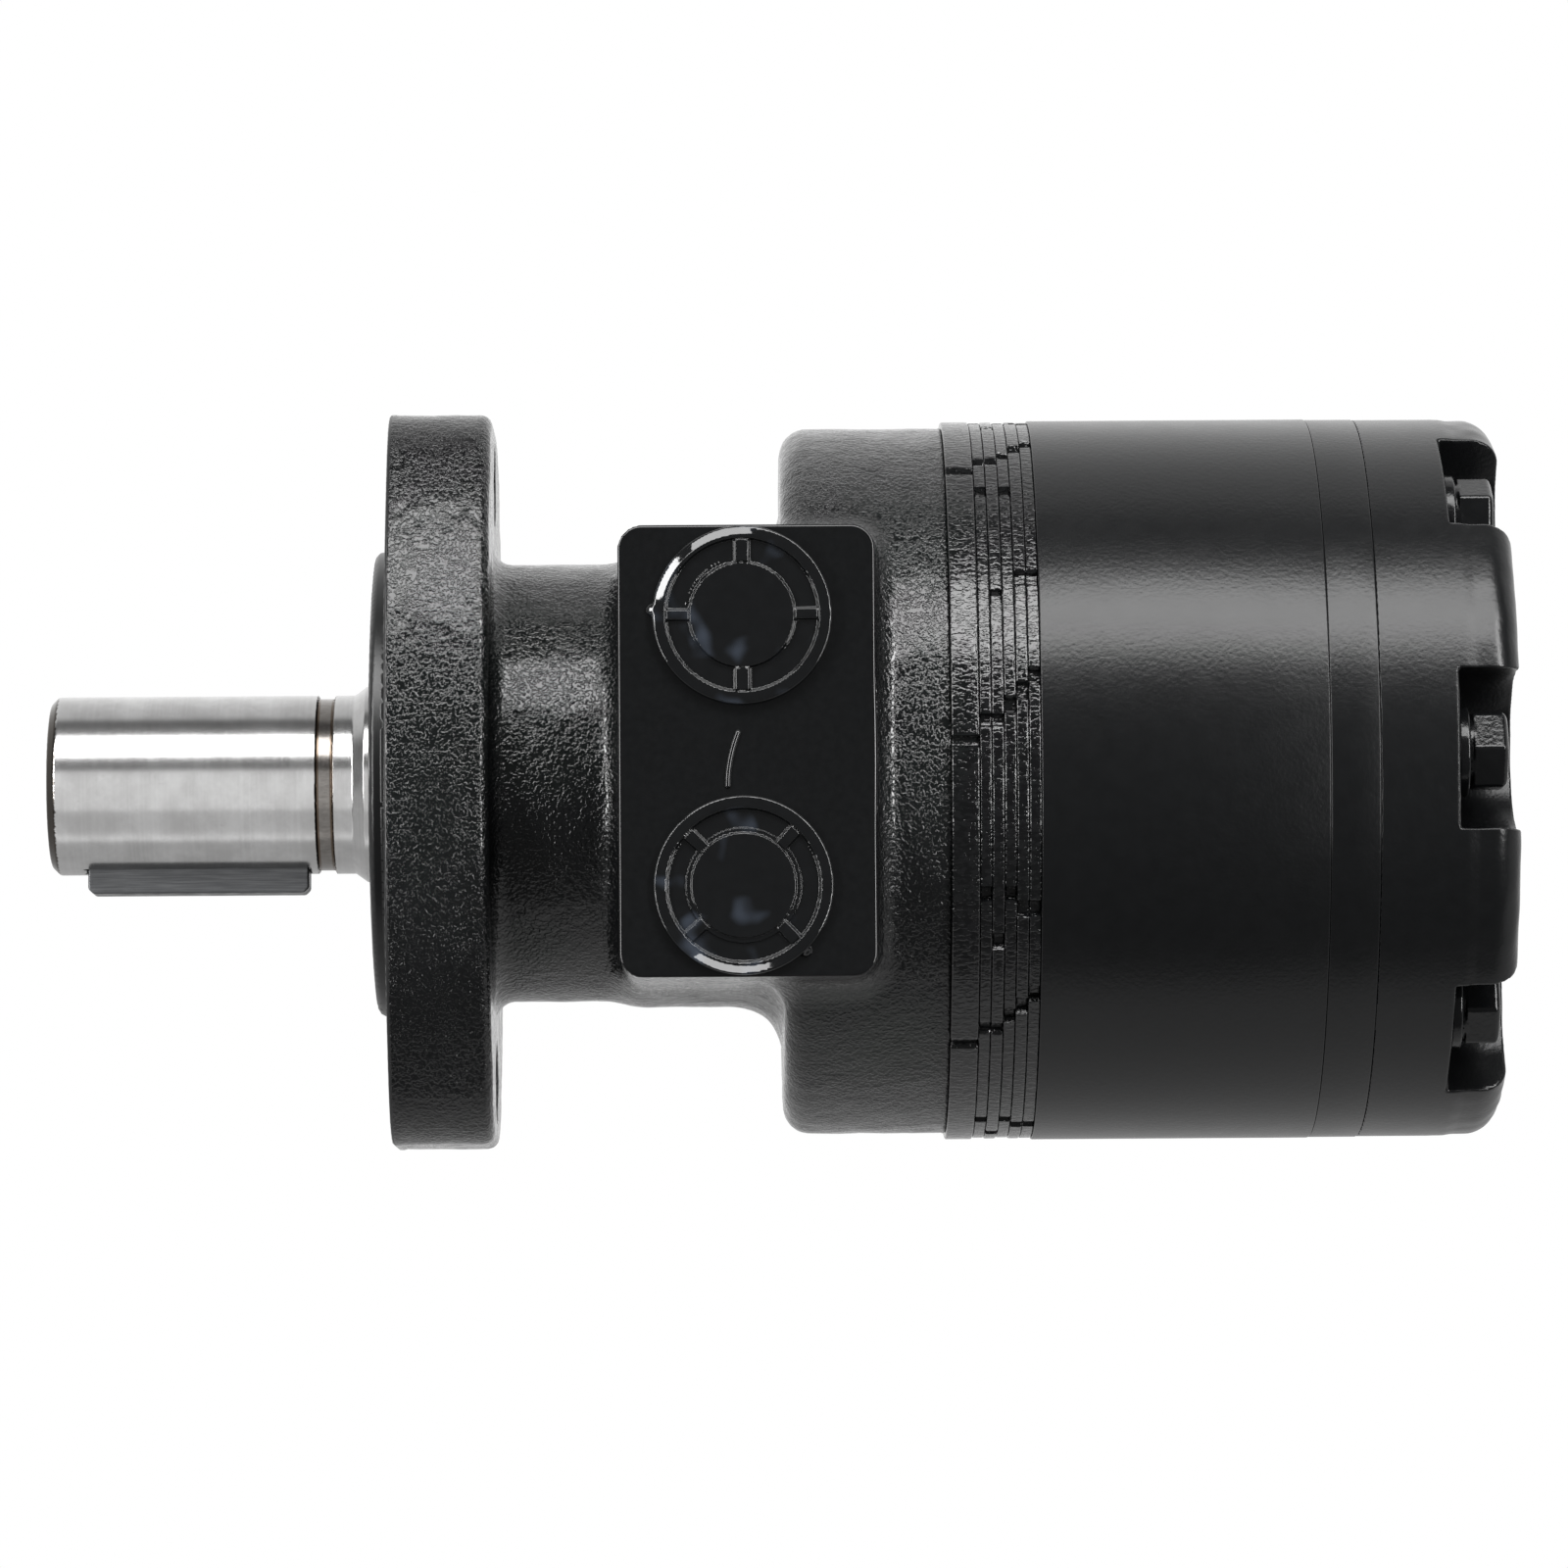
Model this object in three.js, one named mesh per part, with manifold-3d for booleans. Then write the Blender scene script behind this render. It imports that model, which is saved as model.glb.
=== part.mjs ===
// A low-speed orbital hydraulic motor. A cast housing carries the two-hole pilot flange, the ports
// and the keyed output shaft. Behind it seven bolts clamp a laminated manifold, a roller rotor set,
// a balance plate and an end cover.
//
// Units are millimetres. +X runs along the shaft axis from the shaft tip to the end cover, the port
// pad faces -Y and +Z is up. The origin is the centre of the shaft's end face. Stations along X are
// written from the flange's mounting face, and the finished assembly is moved to the origin. Angles
// around the shaft axis are measured from +Y towards +Z, so the port pad lies at half a turn.
import * as THREE from "three";
import { mergeVertices } from "three/addons/utils/BufferGeometryUtils.js";
import Module from "manifold-3d";

const wasm = await Module();
wasm.setup();

// ---- Driving dimensions -------------------------------------------------------------------------

const TURN = 2 * Math.PI;
const PAD_ANGLE = Math.PI;
const CUT_MARGIN = 1; // how far a cutter runs past the face that it opens
const FILM = 0.15; // oil film between a moving piece and its neighbour

// Corners per full circle.
const COARSE = 8;
const MEDIUM = 20;
const FINE = 28;
const OUTER = 42;

const pilot = { radius: 41.28, height: 2.8, chamfer: 0.8 };
const flange = {
  thickness: 18.3,
  halfHeight: 64.8,
  halfWidth: 45,
  sideRadius: 98,
  cornerRadius: 21,
  holeRadius: 6.75,
  holeOffset: 53.2,
};
const neck = { radius: 39.05, flangeFillet: 3, bellFillet: 10 };
const bell = { front: 68.7, back: 97.5, radius: 62.7, cornerRadius: 5 };
const pad = { front: 40.8, back: 84.7, halfHeight: 38.6, face: 66, cornerRadius: 4 };
const port = { x: 62, offset: 23, radius: 10.2, floor: 32 };
const gallery = { y: -35.4, z: 20.5, radius: 3.5 };
const bore = {
  dustSeal: { radius: 25, back: 3 },
  web: { radius: 19, back: 4 },
  shaftSeal: { radius: 24.5, back: 12 },
  bearing: { radius: 31 },
};

const shaft = {
  tip: -60.8,
  radius: 15.875,
  chamfer: 1.4,
  grooveFront: -13.2,
  grooveBack: -10.3,
  grooveDepth: 0.6,
  taperFront: -6.8,
  taperBack: -4.7,
  sealRadius: 17.4,
  shoulder: 18.5,
  journalRadius: 23.5,
  splineFront: 56,
  back: 94,
};
const key = { front: -54.2, back: -15, width: 7.94, top: 19.45, clearance: 0.1 };

const spline = { teeth: 12, minor: 13.8, major: 16.5, rootHalf: 0.155, tipHalf: 0.085 };
const splineSocket = { minor: 14.2, major: 16.9, extraHalf: 0.0233 };
const link = {
  frontCrown: 68,
  backCrown: 137,
  crownHalf: 7,
  crownDrop: 0.35,
  shankRadius: 10.5,
  endLength: 0.5,
};
const spacer = { front: 147, back: 160, radius: 13 };

const bolts = { count: 7, circle: 54, holeRadius: 4.4, shankRadius: 3.97, threadEnd: 76 };
const hexHead = { acrossFlats: 12.7, height: 6, collarRadius: 6.3, collarHeight: 0.6 };
const boltWasher = { radius: 7.8, height: 2 };
const tappedHole = { radius: 4.3, front: 74 };

const plates = {
  radius: 64,
  boreRadius: 20,
  thicknesses: [4.8, 2.1, 2.1, 2.1, 2.1, 2.1],
  slotRadius: 37.5,
  slotHalfWidth: 2.2,
  slotHalfHeight: 3.2,
  notchDepth: 1.4,
};
// Rim notches of each plate as [degrees above the pad or bolt direction, width in millimetres].
const plateNotches = [
  [[1.4, 1.6]],
  [[4.7, 1.9], [-22.5, 2.2]],
  [[4.7, 1.9], [-30.3, 2.4]],
  [[7.1, 2.4], [-22.5, 2.2]],
  [[9.3, 2.8], [-24.8, 2.6]],
  [[11.5, 2.8], [-24.8, 2.6]],
];

const rotorSet = {
  length: 49.2,
  statorRadius: 64.15,
  statorBore: 36.2,
  rollCircle: 37.5,
  rollRadius: 7.2,
  rollCount: 7,
  eccentricity: 2.7,
  lobeSteps: 16,
};
const balancePlate = { thickness: 8.5, radius: 64.05, reliefRadius: 5 };
const cover = { thickness: 24.4, radius: 64.15, cornerRadius: 5, seat: 13.5, pocketHalfWidth: 13.65 };
const sealGroove = { inner: 45.7, outer: 48.3, depth: 1.9, clearance: 0.15 };

const bearing = {
  raceOuter: 30.8,
  raceInner: 28.8,
  raceLength: 20,
  rollerRadius: 2.45,
  rollerCount: 10,
  cageInner: 25.4,
  cageOuter: 26.9,
  cageLength: 18,
  rollerLength: 15,
  frontStation: 20,
  backStation: 73,
};
const thrust = {
  inner: 18,
  outer: 29,
  rim: 1.5,
  washer: 1.5,
  frontStation: 12.3,
  cageStation: 14,
  backStation: 16.8,
  needleRadius: 1.25,
  needleCount: 8,
  needleSides: 6,
  discHalf: 0.7,
};
const shaftSeal = { inner: 17.6, outer: 24.3, lipBase: 19.6, wall: 1.6, front: 4.2, length: 5.6 };
const dustSeal = { inner: 17.7, outer: 24.8, lipBase: 20.5, front: -2.4, length: 5, bevel: 1 };
const backupWasher = { inner: 18, outer: 24.3, front: 10, thickness: 1.6 };
const plug = {
  capRadius: 15.25,
  capHeight: 2.2,
  ringOuter: 13.6,
  ringInner: 9,
  ringDepth: 0.9,
  shankRadius: 9.8,
  shankLength: 12,
};

// Stations of the clamped stack along X.
const manifoldFront = bell.back;
const statorFront = plates.thicknesses.reduce((x, t) => x + t, manifoldFront);
const balanceFront = statorFront + rotorSet.length;
const coverFront = balanceFront + balancePlate.thickness;
const boltSeat = coverFront + cover.seat;
const headSeat = boltSeat + boltWasher.height;

// ---- Materials ----------------------------------------------------------------------------------

const finish = (color, roughness, metalness) =>
  new THREE.MeshStandardMaterial({ color, roughness, metalness });
const castPaint = finish(0x0c0c0d, 0.35, 0.1);
const smoothPaint = finish(0x0a0a0b, 0.25, 0.1);
const plugPaint = finish(0x08080a, 0.18, 0);
const bareSteel = finish(0xb4b1ac, 0.32, 1);
const groundSteel = finish(0x8f9194, 0.28, 1);
const rubber = finish(0x17181a, 0.8, 0);

// ---- Shape helpers ------------------------------------------------------------------------------

const spread = (count, first = 0) =>
  Array.from({ length: count }, (_, k) => first + (TURN * k) / count);
const boltAngles = spread(bolts.count, PAD_ANGLE);
const rollAngles = spread(rotorSet.rollCount);

// The Y and Z of a point at an angle around the shaft axis.
const polar = (radius, angle) => [radius * Math.cos(angle), radius * Math.sin(angle)];

// Points of a circle in the YZ plane.
function circle(y, z, radius, count) {
  return spread(count).map((angle) => {
    const [dy, dz] = polar(radius, angle);
    return new THREE.Vector2(y + dy, z + dz);
  });
}

// Points of an arc, both ends included, with the angles in degrees.
function arc(u, v, radius, fromDegrees, toDegrees, steps) {
  return Array.from({ length: steps + 1 }, (_, i) => {
    const angle = THREE.MathUtils.degToRad(fromDegrees + ((toDegrees - fromDegrees) * i) / steps);
    return [u + radius * Math.cos(angle), v + radius * Math.sin(angle)];
  });
}

// Twice the signed area that a list of [x, r] points encloses.
function windingOf(points) {
  return points.reduce((sum, [x, r], i) => {
    const [nextX, nextR] = points[(i + 1) % points.length];
    return sum + x * nextR - nextX * r;
  }, 0);
}

// A body of revolution about the X axis. The profile is a list of [x, r] points, in either sense,
// that starts and ends on the axis or goes round a ring's section.
function turned(profile, segments) {
  const ordered = windingOf(profile) < 0 ? profile : [...profile].reverse();
  const touchesAxis = ordered.some(([, r]) => r === 0);
  const closed = touchesAxis ? fromAxis(ordered) : [...ordered, ordered[0]];
  const points = closed.map(([x, r]) => new THREE.Vector2(r, x));
  return new THREE.LatheGeometry(points, segments).rotateZ(-TURN / 4);
}

// The same closed profile, started at the point on the axis that leaves it.
function fromAxis(profile) {
  const start = profile.findIndex(([, r], i) => r === 0 && profile[(i + 1) % profile.length][1] > 0);
  return [...profile.slice(start), ...profile.slice(0, start)];
}

// A ring with a rectangular section.
function ring(front, back, inner, outer, segments) {
  return turned([[front, inner], [front, outer], [back, outer], [back, inner]], segments);
}

// An outline in the YZ plane, with optional holes, extruded along X.
function prism(outline, front, back, holes = []) {
  const shape = new THREE.Shape(outline);
  shape.holes = holes.map((points) => new THREE.Path(points));
  const geometry = new THREE.ExtrudeGeometry(shape, { depth: back - front, bevelEnabled: false });
  const axes = new THREE.Matrix4().makeBasis(
    new THREE.Vector3(0, 1, 0),
    new THREE.Vector3(0, 0, 1),
    new THREE.Vector3(1, 0, 0),
  );
  return geometry.applyMatrix4(axes).translate(front, 0, 0);
}

// A cylinder along X, centred on a point of the YZ plane.
function rod(front, back, radius, segments, y = 0, z = 0) {
  return prism(circle(y, z, radius, segments), front, back);
}

function box(x0, x1, y0, y1, z0, z1) {
  const block = new THREE.BoxGeometry(x1 - x0, y1 - y0, z1 - z0);
  return block.translate((x0 + x1) / 2, (y0 + y1) / 2, (z0 + z1) / 2);
}

// The geometry as a manifold-3d solid.
function solid(geometry) {
  const bare = geometry.clone();
  bare.deleteAttribute("normal");
  bare.deleteAttribute("uv");
  const merged = mergeVertices(bare, 1e-4);
  return new wasm.Manifold(
    new wasm.Mesh({
      numProp: 3,
      vertProperties: merged.attributes.position.array,
      triVerts: new Uint32Array(merged.index.array),
    }),
  );
}

// A manifold-3d solid as three.js geometry with flat facets.
function geometryOf(body) {
  const mesh = body.getMesh();
  const indexed = new THREE.BufferGeometry();
  indexed.setAttribute("position", new THREE.BufferAttribute(mesh.vertProperties, 3));
  indexed.setIndex(new THREE.BufferAttribute(mesh.triVerts, 1));
  const flat = indexed.toNonIndexed();
  flat.computeVertexNormals();
  return flat;
}

const joined = (...geometries) => geometries.map(solid).reduce((a, b) => a.add(b));
const cut = (body, cutters) => cutters.map(solid).reduce((a, b) => a.subtract(b), body);

// One named mesh from a geometry or a manifold-3d solid.
function piece(name, shape, material) {
  const mesh = new THREE.Mesh(shape.isBufferGeometry ? shape : geometryOf(shape), material);
  mesh.name = name;
  return mesh;
}

const boltHoles = (front, back, radius) =>
  boltAngles.map((a) => rod(front, back, radius, COARSE, ...polar(bolts.circle, a)));

const boltHolePaths = () =>
  boltAngles.map((a) => circle(...polar(bolts.circle, a), bolts.holeRadius, COARSE).reverse());

// ---- Housing ------------------------------------------------------------------------------------

// The flange's outline: bulged sides that blend into the rounded top and bottom.
function flangeOutline() {
  const sideCentre = flange.sideRadius - flange.halfWidth;
  const cornerZ = flange.halfHeight - flange.cornerRadius;
  const cornerReach = Math.sqrt((flange.sideRadius - flange.cornerRadius) ** 2 - cornerZ ** 2);
  const cornerY = cornerReach - sideCentre;
  const blend = THREE.MathUtils.radToDeg(Math.atan2(cornerZ, cornerReach));
  const { sideRadius, cornerRadius } = flange;
  const points = [
    ...arc(-sideCentre, 0, sideRadius, -blend, blend, 8),
    ...arc(cornerY, cornerZ, cornerRadius, blend, 90, 4).slice(1),
    ...arc(-cornerY, cornerZ, cornerRadius, 90, 180 - blend, 4),
    ...arc(sideCentre, 0, sideRadius, 180 - blend, 180 + blend, 8).slice(1),
    ...arc(-cornerY, -cornerZ, cornerRadius, 180 + blend, 270, 4).slice(1),
    ...arc(cornerY, -cornerZ, cornerRadius, 270, 360 - blend, 4).slice(0, -1),
  ];
  return points.map(([y, z]) => new THREE.Vector2(y, z));
}

function flangePlate() {
  const holes = [-1, 1].map((side) =>
    circle(0, side * flange.holeOffset, flange.holeRadius, MEDIUM).reverse(),
  );
  return prism(flangeOutline(), 0, flange.thickness, holes);
}

// Pilot, neck and bell as one turned body.
function castCore() {
  const { flangeFillet, bellFillet } = neck;
  const corner = bell.cornerRadius;
  return turned(
    [
      [-pilot.height, 0],
      [-pilot.height, pilot.radius - pilot.chamfer],
      [pilot.chamfer - pilot.height, pilot.radius],
      [flange.thickness, pilot.radius],
      ...arc(flange.thickness + flangeFillet, neck.radius + flangeFillet, flangeFillet, 180, 270, 3),
      ...arc(bell.front - bellFillet, neck.radius + bellFillet, bellFillet, 270, 360, 5),
      ...arc(bell.front + corner, bell.radius - corner, corner, 180, 90, 4),
      [bell.back, bell.radius],
      [bell.back, 0],
    ],
    OUTER,
  );
}

// The block that carries both ports, with a rounded face outline.
function portPad() {
  const { front, back, halfHeight, cornerRadius: r } = pad;
  const outline = [
    ...arc(back - r, halfHeight - r, r, 0, 90, 4),
    ...arc(front + r, halfHeight - r, r, 90, 180, 4),
    ...arc(front + r, r - halfHeight, r, 180, 270, 4),
    ...arc(back - r, r - halfHeight, r, 270, 360, 4),
  ];
  const shape = new THREE.Shape(outline.map(([x, z]) => new THREE.Vector2(x, z)));
  return new THREE.ExtrudeGeometry(shape, { depth: pad.face, bevelEnabled: false }).rotateX(TURN / 4);
}

function shaftBore() {
  const { dustSeal: wiper, web, shaftSeal: lip, bearing: main } = bore;
  return turned(
    [
      [-pilot.height - CUT_MARGIN, 0],
      [-pilot.height - CUT_MARGIN, wiper.radius],
      [wiper.back, wiper.radius],
      [wiper.back, web.radius],
      [web.back, web.radius],
      [web.back, lip.radius],
      [lip.back, lip.radius],
      [lip.back, main.radius],
      [bell.back + CUT_MARGIN, main.radius],
      [bell.back + CUT_MARGIN, 0],
    ],
    FINE,
  );
}

// A port hole from the pad face, and the gallery that takes its oil back to the manifold.
function portCutters(side) {
  const depth = pad.face + CUT_MARGIN - port.floor;
  const hole = new THREE.CylinderGeometry(port.radius, port.radius, depth, MEDIUM);
  hole.translate(port.x, -port.floor - depth / 2, side * port.offset);
  const passage = rod(port.x, bell.back + CUT_MARGIN, gallery.radius, COARSE, gallery.y, side * gallery.z);
  return [hole, passage];
}

const faceGroove = (front, back) => ring(front, back, sealGroove.inner, sealGroove.outer, FINE);

function housing() {
  return cut(joined(castCore(), flangePlate(), portPad()), [
    shaftBore(),
    ...portCutters(-1),
    ...portCutters(1),
    ...boltHoles(tappedHole.front, bell.back + CUT_MARGIN, tappedHole.radius),
    faceGroove(bell.back - sealGroove.depth, bell.back + CUT_MARGIN),
  ]);
}

// ---- Port plugs ---------------------------------------------------------------------------------

// A cap plug along +X, its seat at zero: threaded stub below, recessed ring on top.
function portPlug() {
  const { capHeight, capRadius, ringOuter, ringInner, ringDepth, shankRadius, shankLength } = plug;
  return turned(
    [
      [-shankLength, 0],
      [-shankLength, shankRadius],
      [0, shankRadius],
      [0, capRadius],
      [capHeight, capRadius],
      [capHeight, ringOuter],
      [capHeight - ringDepth, ringOuter],
      [capHeight - ringDepth, ringInner],
      [capHeight, ringInner],
      [capHeight, 0],
    ],
    MEDIUM,
  );
}

function placedPlug(name, side) {
  const mesh = piece(name, portPlug(), plugPaint);
  mesh.position.set(port.x, -pad.face, side * port.offset);
  mesh.rotation.z = -TURN / 4;
  return mesh;
}

// ---- Shaft, seals and bearings ------------------------------------------------------------------

// Outline of splines: each tooth gives a root corner, two tip corners and a root corner.
function toothedRing({ teeth, minor, major, rootHalf, tipHalf }) {
  const corners = spread(teeth).flatMap((centre) => [
    [minor, centre - rootHalf],
    [major, centre - tipHalf],
    [major, centre + tipHalf],
    [minor, centre + rootHalf],
  ]);
  return corners.map(([r, a]) => new THREE.Vector2(...polar(r, a)));
}

const socketOutline = () =>
  toothedRing({
    ...spline,
    minor: splineSocket.minor,
    major: splineSocket.major,
    rootHalf: spline.rootHalf + splineSocket.extraHalf,
    tipHalf: spline.tipHalf + splineSocket.extraHalf,
  });

function outputShaft() {
  const blank = turned(
    [
      [shaft.tip, 0],
      [shaft.tip, shaft.radius - shaft.chamfer],
      [shaft.tip + shaft.chamfer, shaft.radius],
      [shaft.grooveFront, shaft.radius],
      [shaft.grooveFront + shaft.grooveDepth, shaft.radius - shaft.grooveDepth],
      [shaft.grooveBack - shaft.grooveDepth, shaft.radius - shaft.grooveDepth],
      [shaft.grooveBack, shaft.radius],
      [shaft.taperFront, shaft.radius],
      [shaft.taperBack, shaft.sealRadius],
      [shaft.shoulder, shaft.sealRadius],
      [shaft.shoulder, shaft.journalRadius],
      [shaft.back, shaft.journalRadius],
      [shaft.back, 0],
    ],
    FINE,
  );
  const socket = prism(socketOutline(), shaft.splineFront, shaft.back + CUT_MARGIN);
  const { clearance, width, top } = key;
  const seatHalf = width / 2 + clearance;
  const seatFloor = top - width - clearance;
  const keySeat = box(key.front - clearance, key.back + clearance, -seatHalf, seatHalf, -top, -seatFloor);
  return cut(solid(blank), [socket, keySeat]);
}

const shaftKey = () =>
  box(key.front, key.back, -key.width / 2, key.width / 2, -key.top, key.width - key.top);

function lipSeal() {
  const { inner, outer, lipBase, wall, front, length } = shaftSeal;
  const back = front + length;
  return turned(
    [
      [front, lipBase],
      [front, outer],
      [back, outer],
      [back, outer - wall],
      [front + wall, outer - wall],
      [front + wall, lipBase],
      [back - wall, inner + wall],
      [back - wall, inner],
    ],
    FINE,
  );
}

function dustWiper() {
  const { inner, outer, lipBase, front, length, bevel } = dustSeal;
  const back = front + length;
  return turned(
    [
      [front, inner],
      [front, lipBase],
      [front + bevel, outer],
      [back, outer],
      [back, lipBase],
    ],
    FINE,
  );
}

// A bearing cage with its rollers, centred on its own middle.
function rollerCage() {
  const { cageLength, cageInner, cageOuter, rollerLength, rollerRadius, rollerCount } = bearing;
  const pitch = (bearing.raceInner + shaft.journalRadius) / 2;
  const half = rollerLength / 2;
  const rollers = spread(rollerCount).map((a) =>
    rod(-half, half, rollerRadius - FILM, COARSE, ...polar(pitch, a)),
  );
  return joined(ring(-cageLength / 2, cageLength / 2, cageInner, cageOuter, MEDIUM), ...rollers);
}

// The thrust cage: a thin disc with radial needles, centred on its own middle.
function needleDisc() {
  const { inner, outer, rim, needleRadius, needleCount, needleSides, discHalf } = thrust;
  const length = outer - inner - 2 * rim;
  const needles = spread(needleCount).map((a) => {
    const needle = new THREE.CylinderGeometry(needleRadius, needleRadius, length, needleSides);
    return needle.translate(0, (inner + outer) / 2, 0).rotateX(a);
  });
  return joined(ring(-discHalf, discHalf, inner, outer, MEDIUM), ...needles);
}

function bearingPieces(side, station) {
  const race = piece(`${side}_bearing_race`, raceRing(), groundSteel);
  const cage = piece(`${side}_bearing_cage`, rollerCage(), groundSteel);
  race.position.x = station;
  cage.position.x = station + bearing.raceLength / 2;
  return [race, cage];
}

const raceRing = () => ring(0, bearing.raceLength, bearing.raceInner, bearing.raceOuter, FINE);
const thrustWasher = () => ring(0, thrust.washer, thrust.inner, thrust.outer, MEDIUM);

// ---- Drive link ---------------------------------------------------------------------------------

// A closed body through rings of equal length, each a pair of an X station and its YZ points.
function loft(sections) {
  const count = sections[0][1].length;
  const positions = sections.flatMap(([x, points]) => points.flatMap((p) => [x, p.x, p.y]));
  const frontCentre = sections.length * count;
  const backCentre = frontCentre + 1;
  positions.push(sections[0][0], 0, 0, sections.at(-1)[0], 0, 0);
  const lastRing = (sections.length - 1) * count;
  const indices = [];
  for (let i = 0; i < count; i++) {
    const next = (i + 1) % count;
    for (let base = 0; base < lastRing; base += count) {
      indices.push(base + i, base + next, base + count + next);
      indices.push(base + i, base + count + next, base + count + i);
    }
    indices.push(frontCentre, next, i);
    indices.push(backCentre, lastRing + i, lastRing + next);
  }
  const geometry = new THREE.BufferGeometry();
  geometry.setAttribute("position", new THREE.Float32BufferAttribute(positions, 3));
  geometry.setIndex(indices);
  return geometry;
}

// Barrel-shaped splines, so that the link can tilt in its sockets.
function crownSections(centre) {
  return [-1, 0, 1].map((share) => {
    const drop = link.crownDrop * Math.abs(share);
    const thinning = drop / spline.major;
    return [
      centre + share * link.crownHalf,
      toothedRing({
        ...spline,
        minor: spline.minor - drop,
        major: spline.major - drop,
        rootHalf: spline.rootHalf - thinning,
        tipHalf: spline.tipHalf - thinning,
      }),
    ];
  });
}

// The link's own frame has its origin at the front crown, on the shaft axis.
function driveLink() {
  const reach = Math.hypot(link.backCrown - link.frontCrown, rotorSet.eccentricity);
  const round = circle(0, 0, link.shankRadius, 4 * spline.teeth);
  const step = link.crownHalf + link.endLength;
  return loft([
    [-step, round],
    ...crownSections(0),
    [step, round],
    [reach - step, round],
    ...crownSections(reach),
    [reach + step, round],
  ]);
}

// ---- Manifold, rotor set and end cover ----------------------------------------------------------

// A rim notch at an angle, as a box that reaches past the rim.
function rimNotch(thickness, width, angle) {
  const { radius, notchDepth } = plates;
  const half = width / 2;
  const cutter = box(
    -CUT_MARGIN, thickness + CUT_MARGIN, radius - notchDepth, radius + CUT_MARGIN, -half, half,
  );
  return cutter.rotateX(angle);
}

// Oil slots that line up with the chambers between the rolls.
const chamberSlots = () =>
  boltAngles.map((a) => {
    const slot = [[1, 1], [-1, 1], [-1, -1], [1, -1]].map(([u, v]) => {
      const radial = plates.slotRadius + u * plates.slotHalfHeight;
      const along = v * plates.slotHalfWidth;
      return new THREE.Vector2(
        radial * Math.cos(a) - along * Math.sin(a),
        radial * Math.sin(a) + along * Math.cos(a),
      );
    });
    return slot.reverse();
  });

const inletHoles = () =>
  [-1, 1].map((side) => circle(gallery.y, side * gallery.z, gallery.radius, COARSE).reverse());

// Plate 1 faces the housing and takes oil from its galleries; the others feed the chambers.
function manifoldPlate(index) {
  const thickness = plates.thicknesses[index];
  const passages = index === 0 ? inletHoles() : chamberSlots();
  const centre = circle(0, 0, plates.boreRadius, MEDIUM).reverse();
  const blank = prism(circle(0, 0, plates.radius, OUTER), 0, thickness, [
    centre,
    ...boltHolePaths(),
    ...passages,
  ]);
  const notches = plateNotches[index].flatMap(([degrees, width]) =>
    boltAngles.map((a) => rimNotch(thickness, width, a - THREE.MathUtils.degToRad(degrees))),
  );
  return cut(solid(blank), notches);
}

function manifoldPieces() {
  let x = manifoldFront;
  return plates.thicknesses.map((thickness, index) => {
    const mesh = piece(`manifold_plate_${index + 1}`, manifoldPlate(index), smoothPaint);
    mesh.position.x = x;
    x += thickness;
    return mesh;
  });
}

function stator() {
  const { length, statorRadius, statorBore, rollCircle, rollRadius } = rotorSet;
  const blank = prism(circle(0, 0, statorRadius, OUTER), 0, length, boltHolePaths());
  const through = [-CUT_MARGIN, length + CUT_MARGIN];
  const pockets = rollAngles.map((a) =>
    rod(...through, rollRadius + FILM, MEDIUM, ...polar(rollCircle, a)),
  );
  return cut(solid(blank), [
    rod(...through, statorBore, FINE),
    ...pockets,
    faceGroove(-CUT_MARGIN, sealGroove.depth),
    faceGroove(length - sealGroove.depth, length + CUT_MARGIN),
  ]);
}

// The rotor's lobes: the curve that the rolls' centres follow around the rotor, moved inwards by
// the roll's radius and the oil film.
function rotorOutline() {
  const { rollCircle: reach, eccentricity: e, rollCount: n, lobeSteps } = rotorSet;
  const inset = rotorSet.rollRadius + FILM;
  const count = (n - 1) * lobeSteps;
  return Array.from({ length: count }, (_, i) => {
    const t = (TURN * i) / count;
    const y = reach * Math.cos(t) - e * Math.cos(n * t);
    const z = reach * Math.sin(t) - e * Math.sin(n * t);
    const dy = -reach * Math.sin(t) + e * n * Math.sin(n * t);
    const dz = reach * Math.cos(t) - e * n * Math.cos(n * t);
    const speed = Math.hypot(dy, dz);
    return new THREE.Vector2(y - (inset * dz) / speed, z + (inset * dy) / speed);
  });
}

const rotor = () => prism(rotorOutline(), FILM, rotorSet.length - FILM, [socketOutline().reverse()]);
const roll = () => rod(FILM, rotorSet.length - FILM, rotorSet.rollRadius, MEDIUM);

const balance = () =>
  prism(circle(0, 0, balancePlate.radius, OUTER), 0, balancePlate.thickness, [
    ...boltHolePaths(),
    circle(0, 0, balancePlate.reliefRadius, COARSE).reverse(),
  ]);

// The pocket that gives a bolt head its seat: round behind the bolt and open at the rim.
function boltPocket(angle) {
  const half = cover.pocketHalfWidth;
  const rim = cover.radius + CUT_MARGIN;
  const outline = [[rim, -half], [rim, half], ...arc(bolts.circle, 0, half, 90, 270, 8)];
  const points = outline.map(([u, v]) => new THREE.Vector2(u, v));
  return prism(points, cover.seat, cover.thickness + CUT_MARGIN).rotateX(angle);
}

function endCover() {
  const { thickness, radius, cornerRadius: corner } = cover;
  const blank = turned(
    [[0, 0], [0, radius], ...arc(thickness - corner, radius - corner, corner, 90, 0, 4), [thickness, 0]],
    OUTER,
  );
  return cut(solid(blank), [
    ...boltAngles.map(boltPocket),
    ...boltHoles(-CUT_MARGIN, cover.seat + CUT_MARGIN, bolts.holeRadius),
    faceGroove(-CUT_MARGIN, sealGroove.depth),
  ]);
}

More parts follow.
